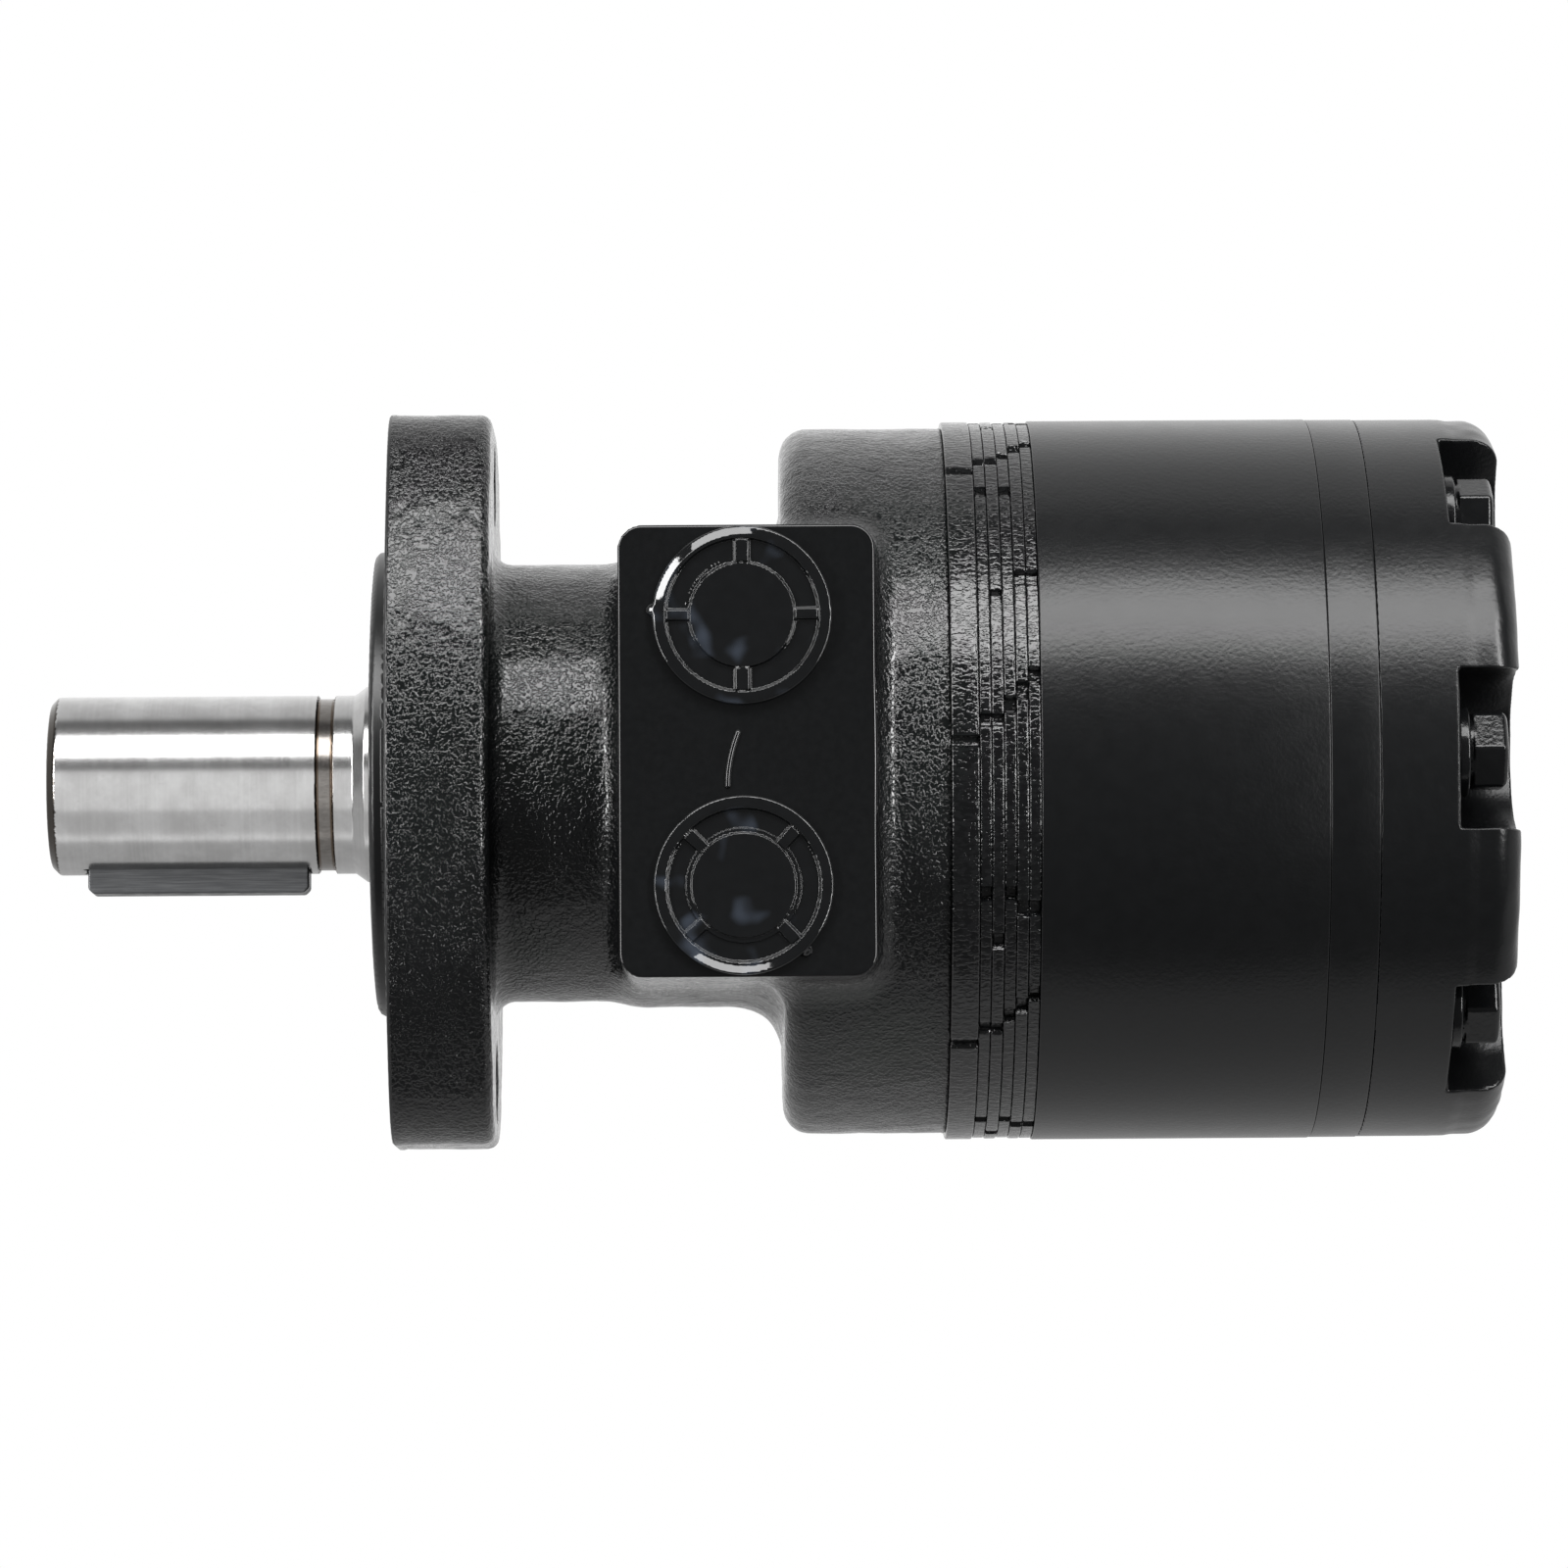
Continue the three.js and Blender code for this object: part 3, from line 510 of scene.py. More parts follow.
def plug_field(plug, x, y, z):
    """A moulded cap plug about its own axis: x and z across it, y towards its outer face."""
    r = np.hypot(x, z)
    cap = round_overlap(r - CAP_RADIUS, (y - cap_relief(plug, x, z)) * 0.8, CAP_EDGE)
    drop_x, drop_z = CAP_RADIUS * math.cos(plug["drop_at"]), CAP_RADIUS * math.sin(plug["drop_at"])
    drop = np.sqrt((x - drop_x) ** 2 + (z - drop_z) ** 2 + y**2) - DROP_RADIUS
    cap = np.maximum(round_join(cap, drop, 0.5), -y)
    stub = np.maximum(r - STUB_RADIUS, slab(y, -STUB_LENGTH, 1))
    return np.minimum(cap, stub)


def plug_piece(plug):
    centre_z = plug["side"] * PORT_OFFSET
    reach = CAP_RADIUS + 1.4
    surface = -PAD_FACE

    def field(x, y, z):
        return plug_field(plug, x - PORT_X, surface - y, z - centre_z)

    axes = (
        spaced(PORT_X - reach, PORT_X + reach, 0.3),
        np.concatenate([spaced(surface - 3, surface + 0.6, 0.25), spaced(surface + 1.4, surface + 13, 0.9)]),
        spaced(centre_z - reach, centre_z + reach, 0.3),
    )
    return field_piece(plug["name"], field, axes, edge_reach=0.08)


RUN_FOOT, RUN_TOP, RUN_RADIUS, RUN_STATION, RUN_BEND = -6.0, 3.0, 0.5, 59.4, 0.022


def paint_run():
    """A short curved bead of paint on the pad face between the plugs."""
    step, margin = 0.15, 0.8

    def field(x, y, z):
        along = np.clip(z, RUN_FOOT, RUN_TOP)
        middle = RUN_STATION + RUN_BEND * (along - RUN_FOOT) ** 2
        return np.sqrt((x - middle) ** 2 + (z - along) ** 2 + (y + PAD_FACE) ** 2) - RUN_RADIUS

    axes = (
        spaced(RUN_STATION - 1, RUN_STATION + 3, step),
        spaced(-PAD_FACE - margin, -PAD_FACE + margin, step),
        spaced(RUN_FOOT - margin, RUN_TOP + margin, step),
    )
    return field_piece("paint_run", field, axes, edge_reach=0.05)


# ---- Shaft and key ---------------------------------------------------------------------------------------

GROOVE_FRONT, GROOVE_BACK, RELIEF_DEPTH = -13.2, -10.3, 0.6
TAPER_FRONT, TAPER_BACK, SHOULDER = -6.8, -4.7, 18.5
TIP_CHAMFER, TIP_EDGE, SHOULDER_EDGE = 1.4, 0.25, 0.6
SOCKET_FRONT, SOCKET_MINOR, SOCKET_MAJOR, SPLINE_TEETH = 56.0, 14.2, 16.9, 12
KEY_CLEARANCE, KEY_BEVEL, KEY_EDGE = 0.1, 0.9, 0.35


def shaft_field(x, y, z):
    r = np.hypot(y, z)
    nose = round_overlap(r - SHAFT_RADIUS, SHAFT_LOW[0] - x, TIP_EDGE)
    chamfer = (r - SHAFT_RADIUS - x + SHAFT_LOW[0] + TIP_CHAMFER) / math.sqrt(2)
    nose = np.maximum(round_overlap(nose, chamfer, 0.3), x + 5)
    growth = SEAL_RADIUS - SHAFT_RADIUS
    growing = SHAFT_RADIUS + np.clip((x - TAPER_FRONT) * growth / (TAPER_BACK - TAPER_FRONT), 0, growth)
    middle = np.maximum((r - growing) * 0.9, slab(x, -OVERRUN, SHOULDER + 2))
    journal = round_overlap(r - JOURNAL_RADIUS, SHOULDER - x, SHOULDER_EDGE)
    journal = round_overlap(journal, x - SHAFT_HIGH[0], SHOULDER_EDGE)
    body = np.minimum(np.minimum(nose, middle), journal)
    groove = np.maximum(SHAFT_RADIUS - RELIEF_DEPTH - r, slab(x, GROOVE_FRONT, GROOVE_BACK))
    body = round_cut(body, groove, EDGE_BREAK)
    body = np.maximum(body, -np.maximum(spline_socket(r, np.arctan2(z, y)) * 0.7, SOCKET_FRONT - x))
    return np.maximum(body, -key_seat(x, y, z))


def spline_socket(r, angle):
    half = (SOCKET_MAJOR - SOCKET_MINOR) / 2
    return r - SOCKET_MINOR - half - half * np.clip(2.2 * np.cos(SPLINE_TEETH * angle), -1, 1)


def key_seat(x, y, z):
    half = KEY_HIGH[1] + KEY_CLEARANCE
    seat = np.maximum(np.abs(y) - half, slab(x, KEY_LOW[0] - KEY_CLEARANCE, KEY_HIGH[0] + KEY_CLEARANCE))
    return np.maximum(seat, z - KEY_HIGH[2] - KEY_CLEARANCE)


def output_shaft():
    front, back = SHAFT_LOW[0], SHAFT_HIGH[0]
    reach = JOURNAL_RADIUS + 0.7
    stretches = (
        (front - 0.6, front + 3, 0.3),
        (front + 3.6, GROOVE_FRONT - 1, 0.6),
        (GROOVE_FRONT - 0.7, TAPER_BACK + 1, 0.25),
        (TAPER_BACK + 1.7, back + 1, 0.9),
    )
    across = spaced(-reach, reach, 0.6)
    axes = (np.concatenate([spaced(*stretch) for stretch in stretches]), across, across)
    return field_piece("turned_shaft", shaft_field, axes, edge_reach=0.05)


def key_field(x, y, z):
    block = round_overlap(np.abs(y) - KEY_HIGH[1], KEY_LOW[2] - z, KEY_EDGE)
    block = np.maximum(block, z - KEY_HIGH[2])
    block = round_overlap(block, slab(x, KEY_LOW[0], KEY_HIGH[0]), 0.4)
    bevel = np.maximum(KEY_LOW[0] - x, x - KEY_HIGH[0]) + KEY_LOW[2] - z + KEY_BEVEL
    return round_overlap(block, bevel / math.sqrt(2), EDGE_BREAK)


def shaft_key():
    margins, steps = (0.6, 0.5, 0.5), (0.4, 0.3, 0.3)
    spans = zip(KEY_LOW, KEY_HIGH, margins, steps)
    axes = [spaced(low - margin, high + margin, step) for low, high, margin, step in spans]
    return field_piece("drive_key", key_field, axes, edge_reach=0.08)


# The dust seal's outer lips: distance behind its front, and radius.
SEAL_OUTLINE = (
    (0, 17.7), (0, 18.3), (0.5, 18.9), (1.5, 19.6), (1.6, 20.8), (0.9, 21.6),
    (0.8, 23.6), (1.2, 24.5), (1.6, 24.8),
)


def dust_seal():
    """A ring from its outline, closed by three corners at the back."""
    low, high = node_box("dust_seal")
    profile = [(low[0] + behind, radius) for behind, radius in SEAL_OUTLINE]
    profile += [(high[0], 24.8), (high[0], 20.5), (low[0] + 2.2, 18.6)]
    return turned_piece("wiper_seal", profile, 128)


# ---- Manifold, rotor ring, balance plate and cover -------------------------------------------------------

RIM_POINTS = 1260
# Rim notches of each plate: degrees above a bolt, width, and how much higher the one above the pad sits.
PLATE_NOTCHES = (
    ((1.4, 1.6, 0),),
    ((4.7, 1.9, 0), (-22.5, 2.2, 18.4)),
    ((4.7, 1.9, 0), (-30.3, 2.4, 3.9)),
    ((7.1, 2.4, 0), (-22.5, 2.2, 18.4)),
    ((9.3, 2.8, 0), (-24.8, 2.6, 1.8)),
    ((11.5, 2.8, 0), (-24.8, 2.6, 1.8)),
)
PLATE_RADII = (63.78, 63.54, 63.7, 63.5, 63.68, 63.6)
NOTCH_DEPTH, NOTCH_CORNER = 1.3, 0.6
SHAFT_HOLE, PLATE_BEVEL, RING_BEVEL = 20.0, 0.34, 0.25
ROLL_CIRCLE, ROLL_POCKET, RING_BORE = 37.5, 7.35, 36.2
CHAMBER_LONG, CHAMBER_WIDE = 3.2, 2.2
RING_RADIUS, DISC_RADIUS, DISC_HOLE = 63.88, 63.78, 5.0


def station(k, radius):
    """Angle and centre of the k-th of the seven places around a circle, the first towards the pad."""
    angle = PAD_ANGLE + TURN * k / BOLT_COUNT
    return angle, (radius * math.cos(angle), radius * math.sin(angle))


def bolt_loops():
    return [circle_loop(BOLT_HOLE, 40, station(k, BOLT_CIRCLE)[1]) for k in range(BOLT_COUNT)]


def rim_loop(radius, notches=()):
    """The outer rim, with soft-cornered notches that are repeated at each bolt."""
    angles = np.arange(RIM_POINTS) * TURN / RIM_POINTS
    radii = np.full(RIM_POINTS, float(radius))
    sector = TURN / BOLT_COUNT
    for degrees, width, raised in notches:
        for k in range(BOLT_COUNT):
            height = math.radians(degrees + (raised if k == 1 else 0)) + sector * k
            away = (angles - PAD_ANGLE + height + math.pi) % TURN - math.pi
            flank = np.clip((width / 2 - np.abs(away) * radius) / NOTCH_CORNER + 0.5, 0, 1)
            radii -= NOTCH_DEPTH * flank * flank * (3 - 2 * flank)
    return angles, radii, (0, 0), 1


def chamber_loops():
    """Soft-cornered passages on the rolls' circle, one towards each bolt."""
    loops = []
    angles = np.arange(24) * TURN / 24
    for k in range(BOLT_COUNT):
        angle, centre = station(k, ROLL_CIRCLE)
        along, across = np.abs(np.cos(angles - angle)), np.abs(np.sin(angles - angle))
        radii = 1 / ((along / CHAMBER_LONG) ** 4 + (across / CHAMBER_WIDE) ** 4) ** 0.25
        loops.append((angles, radii, centre, -1))
    return loops


def manifold_plates():
    made = []
    for number, (radius, notches) in enumerate(zip(PLATE_RADII, PLATE_NOTCHES), start=1):
        low, high = node_box(f"manifold_plate_{number}")
        if number == 1:
            passages = [circle_loop(GALLERY_RADIUS, 32, (GALLERY_Y, side * GALLERY_Z)) for side in (-1, 1)]
        else:
            passages = chamber_loops()
        loops = [rim_loop(radius, notches), circle_loop(SHAFT_HOLE, 96), *bolt_loops(), *passages]
        made.append(plate_piece(f"manifold_lamination_{number}", low[0], high[0], loops, PLATE_BEVEL))
    return made


def stator_bore():
    """The rotor ring's bore: a circle with a round pocket for each roll."""
    count = 840
    angles = np.arange(count) * TURN / count
    sector = TURN / BOLT_COUNT
    away = (angles + sector / 2) % sector - sector / 2
    root = np.maximum(ROLL_POCKET**2 - (ROLL_CIRCLE * np.sin(away)) ** 2, 0)
    reach = np.where(root > 0, ROLL_CIRCLE * np.cos(away) + np.sqrt(root), 0)
    return angles, np.maximum(reach, RING_BORE), (0, 0), -1


def rotor_ring():
    low, high = node_box("stator")
    loops = [rim_loop(RING_RADIUS), stator_bore(), *bolt_loops()]
    return plate_piece("rotor_ring", low[0], high[0], loops, RING_BEVEL)


def balance_plate():
    low, high = node_box("balance_plate")
    loops = [rim_loop(DISC_RADIUS), circle_loop(DISC_HOLE, 48), *bolt_loops()]
    return plate_piece("balance_disc", low[0], high[0], loops, RING_BEVEL)


# The cover's side steps in a little behind its bolt seats.
COVER_INSET, COVER_STEP, STEP_FRONT, STEP_LENGTH = 0.28, 0.22, 15.2, 1.6


def cover_field(x, y, z):
    x = x - COVER_LOW[0]
    thickness = COVER_HIGH[0] - COVER_LOW[0] - INSET
    r = np.hypot(y, z)
    radius = COVER_HIGH[1] - COVER_INSET - COVER_STEP * np.clip((x - STEP_FRONT) / STEP_LENGTH, 0, 1)
    blank = round_overlap(r - radius, x - thickness, COVER_CORNER)
    blank = round_overlap(blank, -x, EDGE_BREAK)
    u, v = folded(y, z)
    slot = np.where(u > BOLT_CIRCLE, np.abs(v), np.hypot(u - BOLT_CIRCLE, v)) - POCKET_HALF
    pocket = round_overlap(slot, POCKET_SEAT - x, 0.6)
    body = round_cut(blank, pocket, JOINT_EDGE)
    body = round_cut(body, np.hypot(u - BOLT_CIRCLE, v) - BOLT_HOLE, EDGE_BREAK)
    return np.maximum(body, -seal_groove(x, r, -OVERRUN, GROOVE_DEPTH))


def cover_relief(points):
    """Faint waviness of the cover, which fades out towards the bolt seats."""
    weight = np.clip((points[:, 0] - COVER_LOW[0] - POCKET_SEAT - 0.5) / 3, 0, 1)
    return uneven(points, weight, 0.07, (0.03, 7.0, 20, 11))


def end_cover():
    margin, step, fine = 0.8, 0.65, 0.25
    reach = COVER_HIGH[1] + margin
    front, back, seat = COVER_LOW[0], COVER_HIGH[0], COVER_LOW[0] + POCKET_SEAT
    zones = ((front - margin, front + 0.5), (seat - 0.6, seat + 0.8))
    across = spaced(-reach, reach, 0.6)
    axes = (graded(front - margin, back + margin, step, fine, *zones), across, across)
    return field_piece("cover_casting", cover_field, axes, cover_relief)


# ---- Cover bolts -----------------------------------------------------------------------------------------

HEX_HALF, HEX_EDGE, HEAD_TOP_EDGE = 6.35, 0.45, 1.1
COLLAR_RADIUS, COLLAR_HEIGHT = 6.3, 0.6
WASHER_RADIUS, WASHER_BEVEL = 7.8, 0.45
# How far each bolt's hexagon is turned, in degrees.
BOLT_TWISTS = (0, 11, -11, 19, -24, 8, -28)


def hexagon(y, z):
    sides = [np.abs(y * math.cos(a) + z * math.sin(a)) for a in (TURN / 12, TURN / 4, 5 * TURN / 12)]
    edge = round_overlap(sides[0] - HEX_HALF, sides[1] - HEX_HALF, HEX_EDGE)
    return round_overlap(edge, sides[2] - HEX_HALF, HEX_EDGE)


def bolt_field(x, y, z):
    """A hexagon bolt about the X axis, the underside of its head at zero."""
    r = np.hypot(y, z)
    top = BOLT_TOP - WASHER_BACK
    head = round_overlap(hexagon(y, z), COLLAR_HEIGHT - x, 0.35)
    head = round_overlap(head, x - top, HEAD_TOP_EDGE)
    dome = (r - HEX_HALF + (x - top) * math.sqrt(3)) / 2
    head = round_overlap(head, dome, 0.3)
    collar = np.maximum(r - COLLAR_RADIUS, slab(x, 0, COLLAR_HEIGHT + 0.4))
    shank = np.maximum(r - BOLT_SHANK, slab(x, BOLT_TIP - WASHER_BACK, 1))
    return np.minimum(np.minimum(round_join(head, collar, 0.25), collar), shank)


def cover_bolts():
    """One bolt mesh, placed and twisted at each of the seven stations, with its washer."""
    tip = BOLT_TIP - WASHER_BACK
    top = BOLT_TOP - WASHER_BACK
    across = spaced(-8, 8, 0.3)
    axes = (np.concatenate([spaced(tip - 1, -1.5, 3), spaced(-0.6, top + 0.6, 0.3)]), across, across)
    pattern = field_piece("hex_bolt_1", bolt_field, axes, edge_reach=0.1)
    bolts, washers = [], []
    for k, twist in enumerate(BOLT_TWISTS):
        y, z = station(k, BOLT_CIRCLE)[1]
        bolt = pattern
        if k:
            bolt = bpy.data.objects.new(f"hex_bolt_{k + 1}", pattern.data)
            bpy.context.scene.collection.objects.link(bolt)
        place = Matrix.Translation((WASHER_BACK * MM, y * MM, z * MM))
        bolt.matrix_world = place @ Matrix.Rotation(math.radians(twist), 4, "X")
        bolts.append(bolt)
        loops = [circle_loop(WASHER_RADIUS, 96, (y, z), 1), circle_loop(BOLT_HOLE, 64, (y, z))]
        name = f"flat_washer_{k + 1}"
        washers.append(plate_piece(name, WASHER_FRONT, WASHER_BACK, loops, WASHER_BEVEL, arcs=4))
    return bolts, washers


# ---- Materials -------------------------------------------------------------------------------------------


class Nodes:
    """A short way to build a node tree: each call adds a node and returns its first output."""

    def __init__(self, tree):
        self.tree = tree
        tree.nodes.clear()

    def add(self, kind, inputs=None, output=0, **settings):
        made = self.tree.nodes.new(kind)
        for key, value in settings.items():
            setattr(made, key, value)
        for key, value in (inputs or {}).items():
            if isinstance(value, bpy.types.NodeSocket):
                self.tree.links.new(value, made.inputs[key])
            else:
                made.inputs[key].default_value = value
        return made.outputs[output]

    def math(self, operation, a, b=0.0, c=0.0):
        return self.add("ShaderNodeMath", {0: a, 1: b, 2: c}, operation=operation)

    def noise(self, place, scale, detail=2.0, roughness=0.5):
        inputs = {"Vector": place, "Scale": scale, "Detail": detail, "Roughness": roughness}
        return self.add("ShaderNodeTexNoise", inputs)

    def remap(self, value, low, high, to_low=0.0, to_high=1.0):
        """The value taken smoothly from one range to another, and held at its ends."""
        inputs = {"Value": value, "From Min": low, "From Max": high, "To Min": to_low, "To Max": to_high}
        return self.add("ShaderNodeMapRange", inputs, interpolation_type="SMOOTHSTEP")

    def blend(self, share, a, b):
        return self.add("ShaderNodeMix", {0: share, 6: a, 7: b}, output=2, data_type="RGBA")

    def bump(self, height, distance, normal=None):
        inputs = {"Height": height, "Distance": distance}
        if normal is not None:
            inputs["Normal"] = normal
        return self.add("ShaderNodeBump", inputs)

    def split(self, vector):
        """The X, Y and Z outputs of a vector."""
        made = self.tree.nodes.new("ShaderNodeSeparateXYZ")
        self.tree.links.new(vector, made.inputs[0])
        return made.outputs

    def place(self, scale=(1, 1, 1)):
        """Object coordinates in millimetres, scaled along each axis."""
        spot = self.add("ShaderNodeTexCoord", output=3)
        factor = tuple(s / MM for s in scale)
        return self.add("ShaderNodeVectorMath", {0: spot, 1: factor}, operation="MULTIPLY")

    def finish(self, **inputs):
        spaced_names = {name.replace("_", " "): value for name, value in inputs.items()}
        self.add_output(self.add("ShaderNodeBsdfPrincipled", spaced_names))

    def add_output(self, surface):
        self.tree.links.new(surface, self.tree.nodes.new("ShaderNodeOutputMaterial").inputs["Surface"])


def new_material(name):
    made = bpy.data.materials.new(name)
    made.use_nodes = True
    return made, Nodes(made.node_tree)


# Darkest and lightest tone of the black paints, over castings and over smooth metal or plastic.
CAST_BLACK = (0.0022, 0.0024, 0.0026, 1), (0.0050, 0.0053, 0.0056, 1)
SMOOTH_BLACK = (0.0024, 0.0026, 0.0028, 1), (0.0046, 0.0049, 0.0053, 1)
# Refractive indices, which set how strongly each paint mirrors the studio.
GLOSS, CAST_GLOSS, BOLT_GLOSS, SATIN = 1.58, 1.52, 1.45, 1.42


def machined_share(n, place):
    """Two shares: the pad's face, and the pilot with the mounting face."""
    x, y, _ = n.split(place)
    on_pad = n.remap(y, 0.5 - PAD_FACE, 0.2 - PAD_FACE)
    front = MOUNTING_FACE[0] + 0.4
    on_front = n.remap(x, front + 0.3, front)
    return on_pad, on_front


def cast_paint():
    """Thick gloss paint over a sand casting: a pebbled skin with smoother, fuller patches."""
    made, n = new_material("cast_gloss_paint")
    place = n.place()
    on_pad, on_front = machined_share(n, place)
    cast = n.math("SUBTRACT", 1.0, n.math("MAXIMUM", on_pad, on_front))
    grain = n.remap(n.noise(place, 1.45, 2.0, 0.5), 0.4, 0.64)
    swell = n.noise(place, 0.32, 2.0, 0.5)
    patch = n.remap(n.noise(place, 0.06, 2.0, 0.5), 0.35, 0.62, 0.75, 1.0)
    height = n.math("MULTIPLY", n.math("MULTIPLY", grain, patch), cast)
    coarse = n.bump(n.math("MULTIPLY", swell, cast), 0.00014)
    normal = n.bump(height, 0.000095, coarse)
    tone = n.noise(place, 0.9, 3.0)
    color = n.blend(tone, *CAST_BLACK)
    skin = n.remap(n.noise(place, 0.5, 3.0), 0.3, 0.7, 0.09, 0.14)
    satin = n.math("MULTIPLY_ADD", n.math("SUBTRACT", 0.34, skin), on_front, skin)
    rough = n.math("MULTIPLY_ADD", n.math("SUBTRACT", 0.05, satin), on_pad, satin)
    n.finish(Base_Color=color, Roughness=rough, Normal=normal, IOR=CAST_GLOSS)
    return made


def smooth_paint(name, peel, rough_low, rough_high, scale, index):
    """Paint over machined metal, with a slight orange peel."""
    made, n = new_material(name)
    place = n.place()
    height = n.noise(place, scale, 2.0, 0.5)
    normal = n.bump(height, peel)
    tone = n.noise(place, 0.4, 3.0)
    color = n.blend(tone, *SMOOTH_BLACK)
    rough = n.remap(n.noise(place, 0.25, 3.0), 0.3, 0.7, rough_low, rough_high)
    n.finish(Base_Color=color, Roughness=rough, Normal=normal, IOR=index)
    return made


def plug_paint():
    """Paint over the moulded plugs, with faint pale patches where it dried thin."""
    made, n = new_material("plug_gloss_paint")
    place = n.place()
    patch = n.remap(n.noise(place, 0.17, 1.0, 0.4), 0.6, 0.85)
    tone = n.noise(place, 0.4, 3.0)
    base = n.blend(tone, *SMOOTH_BLACK)
    color = n.blend(patch, base, (0.028, 0.034, 0.045, 1))
    rough = n.remap(n.noise(place, 0.25, 3.0), 0.3, 0.7, 0.04, 0.08)
    normal = n.bump(n.noise(place, 0.5, 2.0, 0.5), 0.00003)
    n.finish(Base_Color=color, Roughness=rough, Normal=normal, IOR=GLOSS)
    return made


def lamination_paint():
    """Paint that pooled and rippled over the edges of the stacked plates."""
    made, n = new_material("lamination_gloss_paint")
    ripple = n.remap(n.noise(n.place((0.7, 1.5, 1.5)), 1.0, 2.0, 0.5), 0.4, 0.62)
    runs = n.noise(n.place((2.2, 0.25, 0.25)), 1.0, 3.0, 0.6)
    normal = n.bump(ripple, 0.00005, n.bump(runs, 0.0001))
    rough = n.remap(n.noise(n.place(), 0.5, 3.0), 0.3, 0.7, 0.07, 0.14)
    color = n.blend(ripple, *CAST_BLACK)
    n.finish(Base_Color=color, Roughness=rough, Normal=normal, IOR=GLOSS)
    return made


def dull_groove_dark_corners(n, station_x, flecks, bright):
    """The steel's colour with a dull relief groove, darker still along both of its corners."""
    middle, half = (GROOVE_FRONT + GROOVE_BACK) / 2, 1.3
    from_groove = n.math("ABSOLUTE", n.math("SUBTRACT", station_x, middle))
    dull = n.blend(flecks, (0.11, 0.10, 0.092, 1), (0.30, 0.285, 0.27, 1))
    grooved = n.blend(n.remap(from_groove, half + 0.4, half), bright, dull)
    from_corner = n.math("ABSOLUTE", n.math("SUBTRACT", from_groove, half))
    # A darker brown is painted along both corners of the groove.
    return n.blend(n.remap(from_corner, 0.45, 0.15), grooved, (0.10, 0.075, 0.055, 1))


def tip_share(n, station_x, y, z, flecks):
    """Share of the dark, ragged grime on the chamfer at the shaft's tip."""
    burr = n.math("MULTIPLY_ADD", flecks, 1.2, SHAFT_LOW[0] + 0.8)
    tip = n.remap(n.math("SUBTRACT", station_x, burr), 0.25, 0.0)
    radius = n.math("SQRT", n.math("ADD", n.math("MULTIPLY", y, y), n.math("MULTIPLY", z, z)))
    return n.math("MULTIPLY", tip, n.remap(radius, SHAFT_RADIUS - 2.6, SHAFT_RADIUS - 1.7))


def turned_steel():
    """Bare turned steel: fine rings around the shaft, faint stains and a soft brushed sheen."""
    made, n = new_material("turned_steel")
    place = n.place()
    rings = n.noise(n.place((1, 0.02, 0.02)), 9.0, 4.0, 0.7)
    coarse_rings = n.noise(n.place((1, 0.01, 0.01)), 1.6, 3.0, 0.6)
    stain = n.noise(place, 0.12, 4.0, 0.6)
    flecks = n.noise(n.place((0.35, 1, 1)), 1.8, 4.0, 0.65)
    base = n.blend(n.remap(stain, 0.35, 0.7), (0.45, 0.447, 0.444, 1), (0.55, 0.549, 0.547, 1))
    worn = n.blend(n.remap(flecks, 0.62, 0.8, 0.0, 0.4), base, (0.34, 0.335, 0.33, 1))
    bright = n.blend(n.remap(coarse_rings, 0.4, 0.7, 0.0, 0.12), worn, (0.68, 0.68, 0.68, 1))
    x, y, z = n.split(place)
    station_x = n.math("SUBTRACT", x, MOUNTING_FACE[0])
    grooved_color = dull_groove_dark_corners(n, station_x, flecks, bright)
    color = n.blend(tip_share(n, station_x, y, z, flecks), grooved_color, (0.075, 0.068, 0.06, 1))
    rough = n.remap(rings, 0.3, 0.7, 0.18, 0.225)
    normal = n.bump(rings, 0.000006)
    n.finish(Base_Color=color, Metallic=1.0, Roughness=rough, Normal=normal)
    return made


def key_steel():
    """Drawn key steel, darker than the shaft, with lengthwise marks."""
    made, n = new_material("drawn_steel")
    marks = n.noise(n.place((0.08, 2.2, 2.2)), 1.5, 4.0, 0.6)
    stain = n.noise(n.place(), 0.35, 3.0)
    color = n.blend(n.remap(marks, 0.35, 0.7), (0.075, 0.077, 0.08, 1), (0.11, 0.112, 0.115, 1))
    rough = n.remap(stain, 0.3, 0.7, 0.32, 0.48)
    n.finish(Base_Color=color, Metallic=1.0, Roughness=rough, Normal=n.bump(marks, 0.000008))
    return made


def ground_steel():
    """Ground bearing and gear steel with an oil film, for the inner works."""
    made, n = new_material("ground_steel")
    marks = n.noise(n.place((2.5, 0.3, 0.3)), 1.2, 4.0, 0.6)
    film = n.noise(n.place(), 0.2, 3.0)
    color = n.blend(n.remap(film, 0.35, 0.65), (0.33, 0.335, 0.35, 1), (0.47, 0.47, 0.465, 1))
    rough = n.remap(marks, 0.3, 0.7, 0.16, 0.3)
    n.finish(Base_Color=color, Metallic=1.0, Roughness=rough, Normal=n.bump(marks, 0.00001))
    return made


def seal_rubber():
    """Nitrile rubber with a fine matt skin."""
    made, n = new_material("nitrile_rubber")
    skin = n.noise(n.place(), 3.0, 4.0, 0.6)
    color = n.blend(skin, (0.006, 0.006, 0.0065, 1), (0.016, 0.016, 0.017, 1))
    rough = n.remap(skin, 0.3, 0.7, 0.42, 0.6)
    n.finish(Base_Color=color, Roughness=rough, Normal=n.bump(skin, 0.00003))
    return made


# ---- Assembly --------------------------------------------------------------------------------------------


def dress(piece, material, slot, body, *replaced):
    piece.data.materials.clear()
    piece.data.materials.append(material)
    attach(piece, body)
    if replaced:
        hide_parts(*replaced)


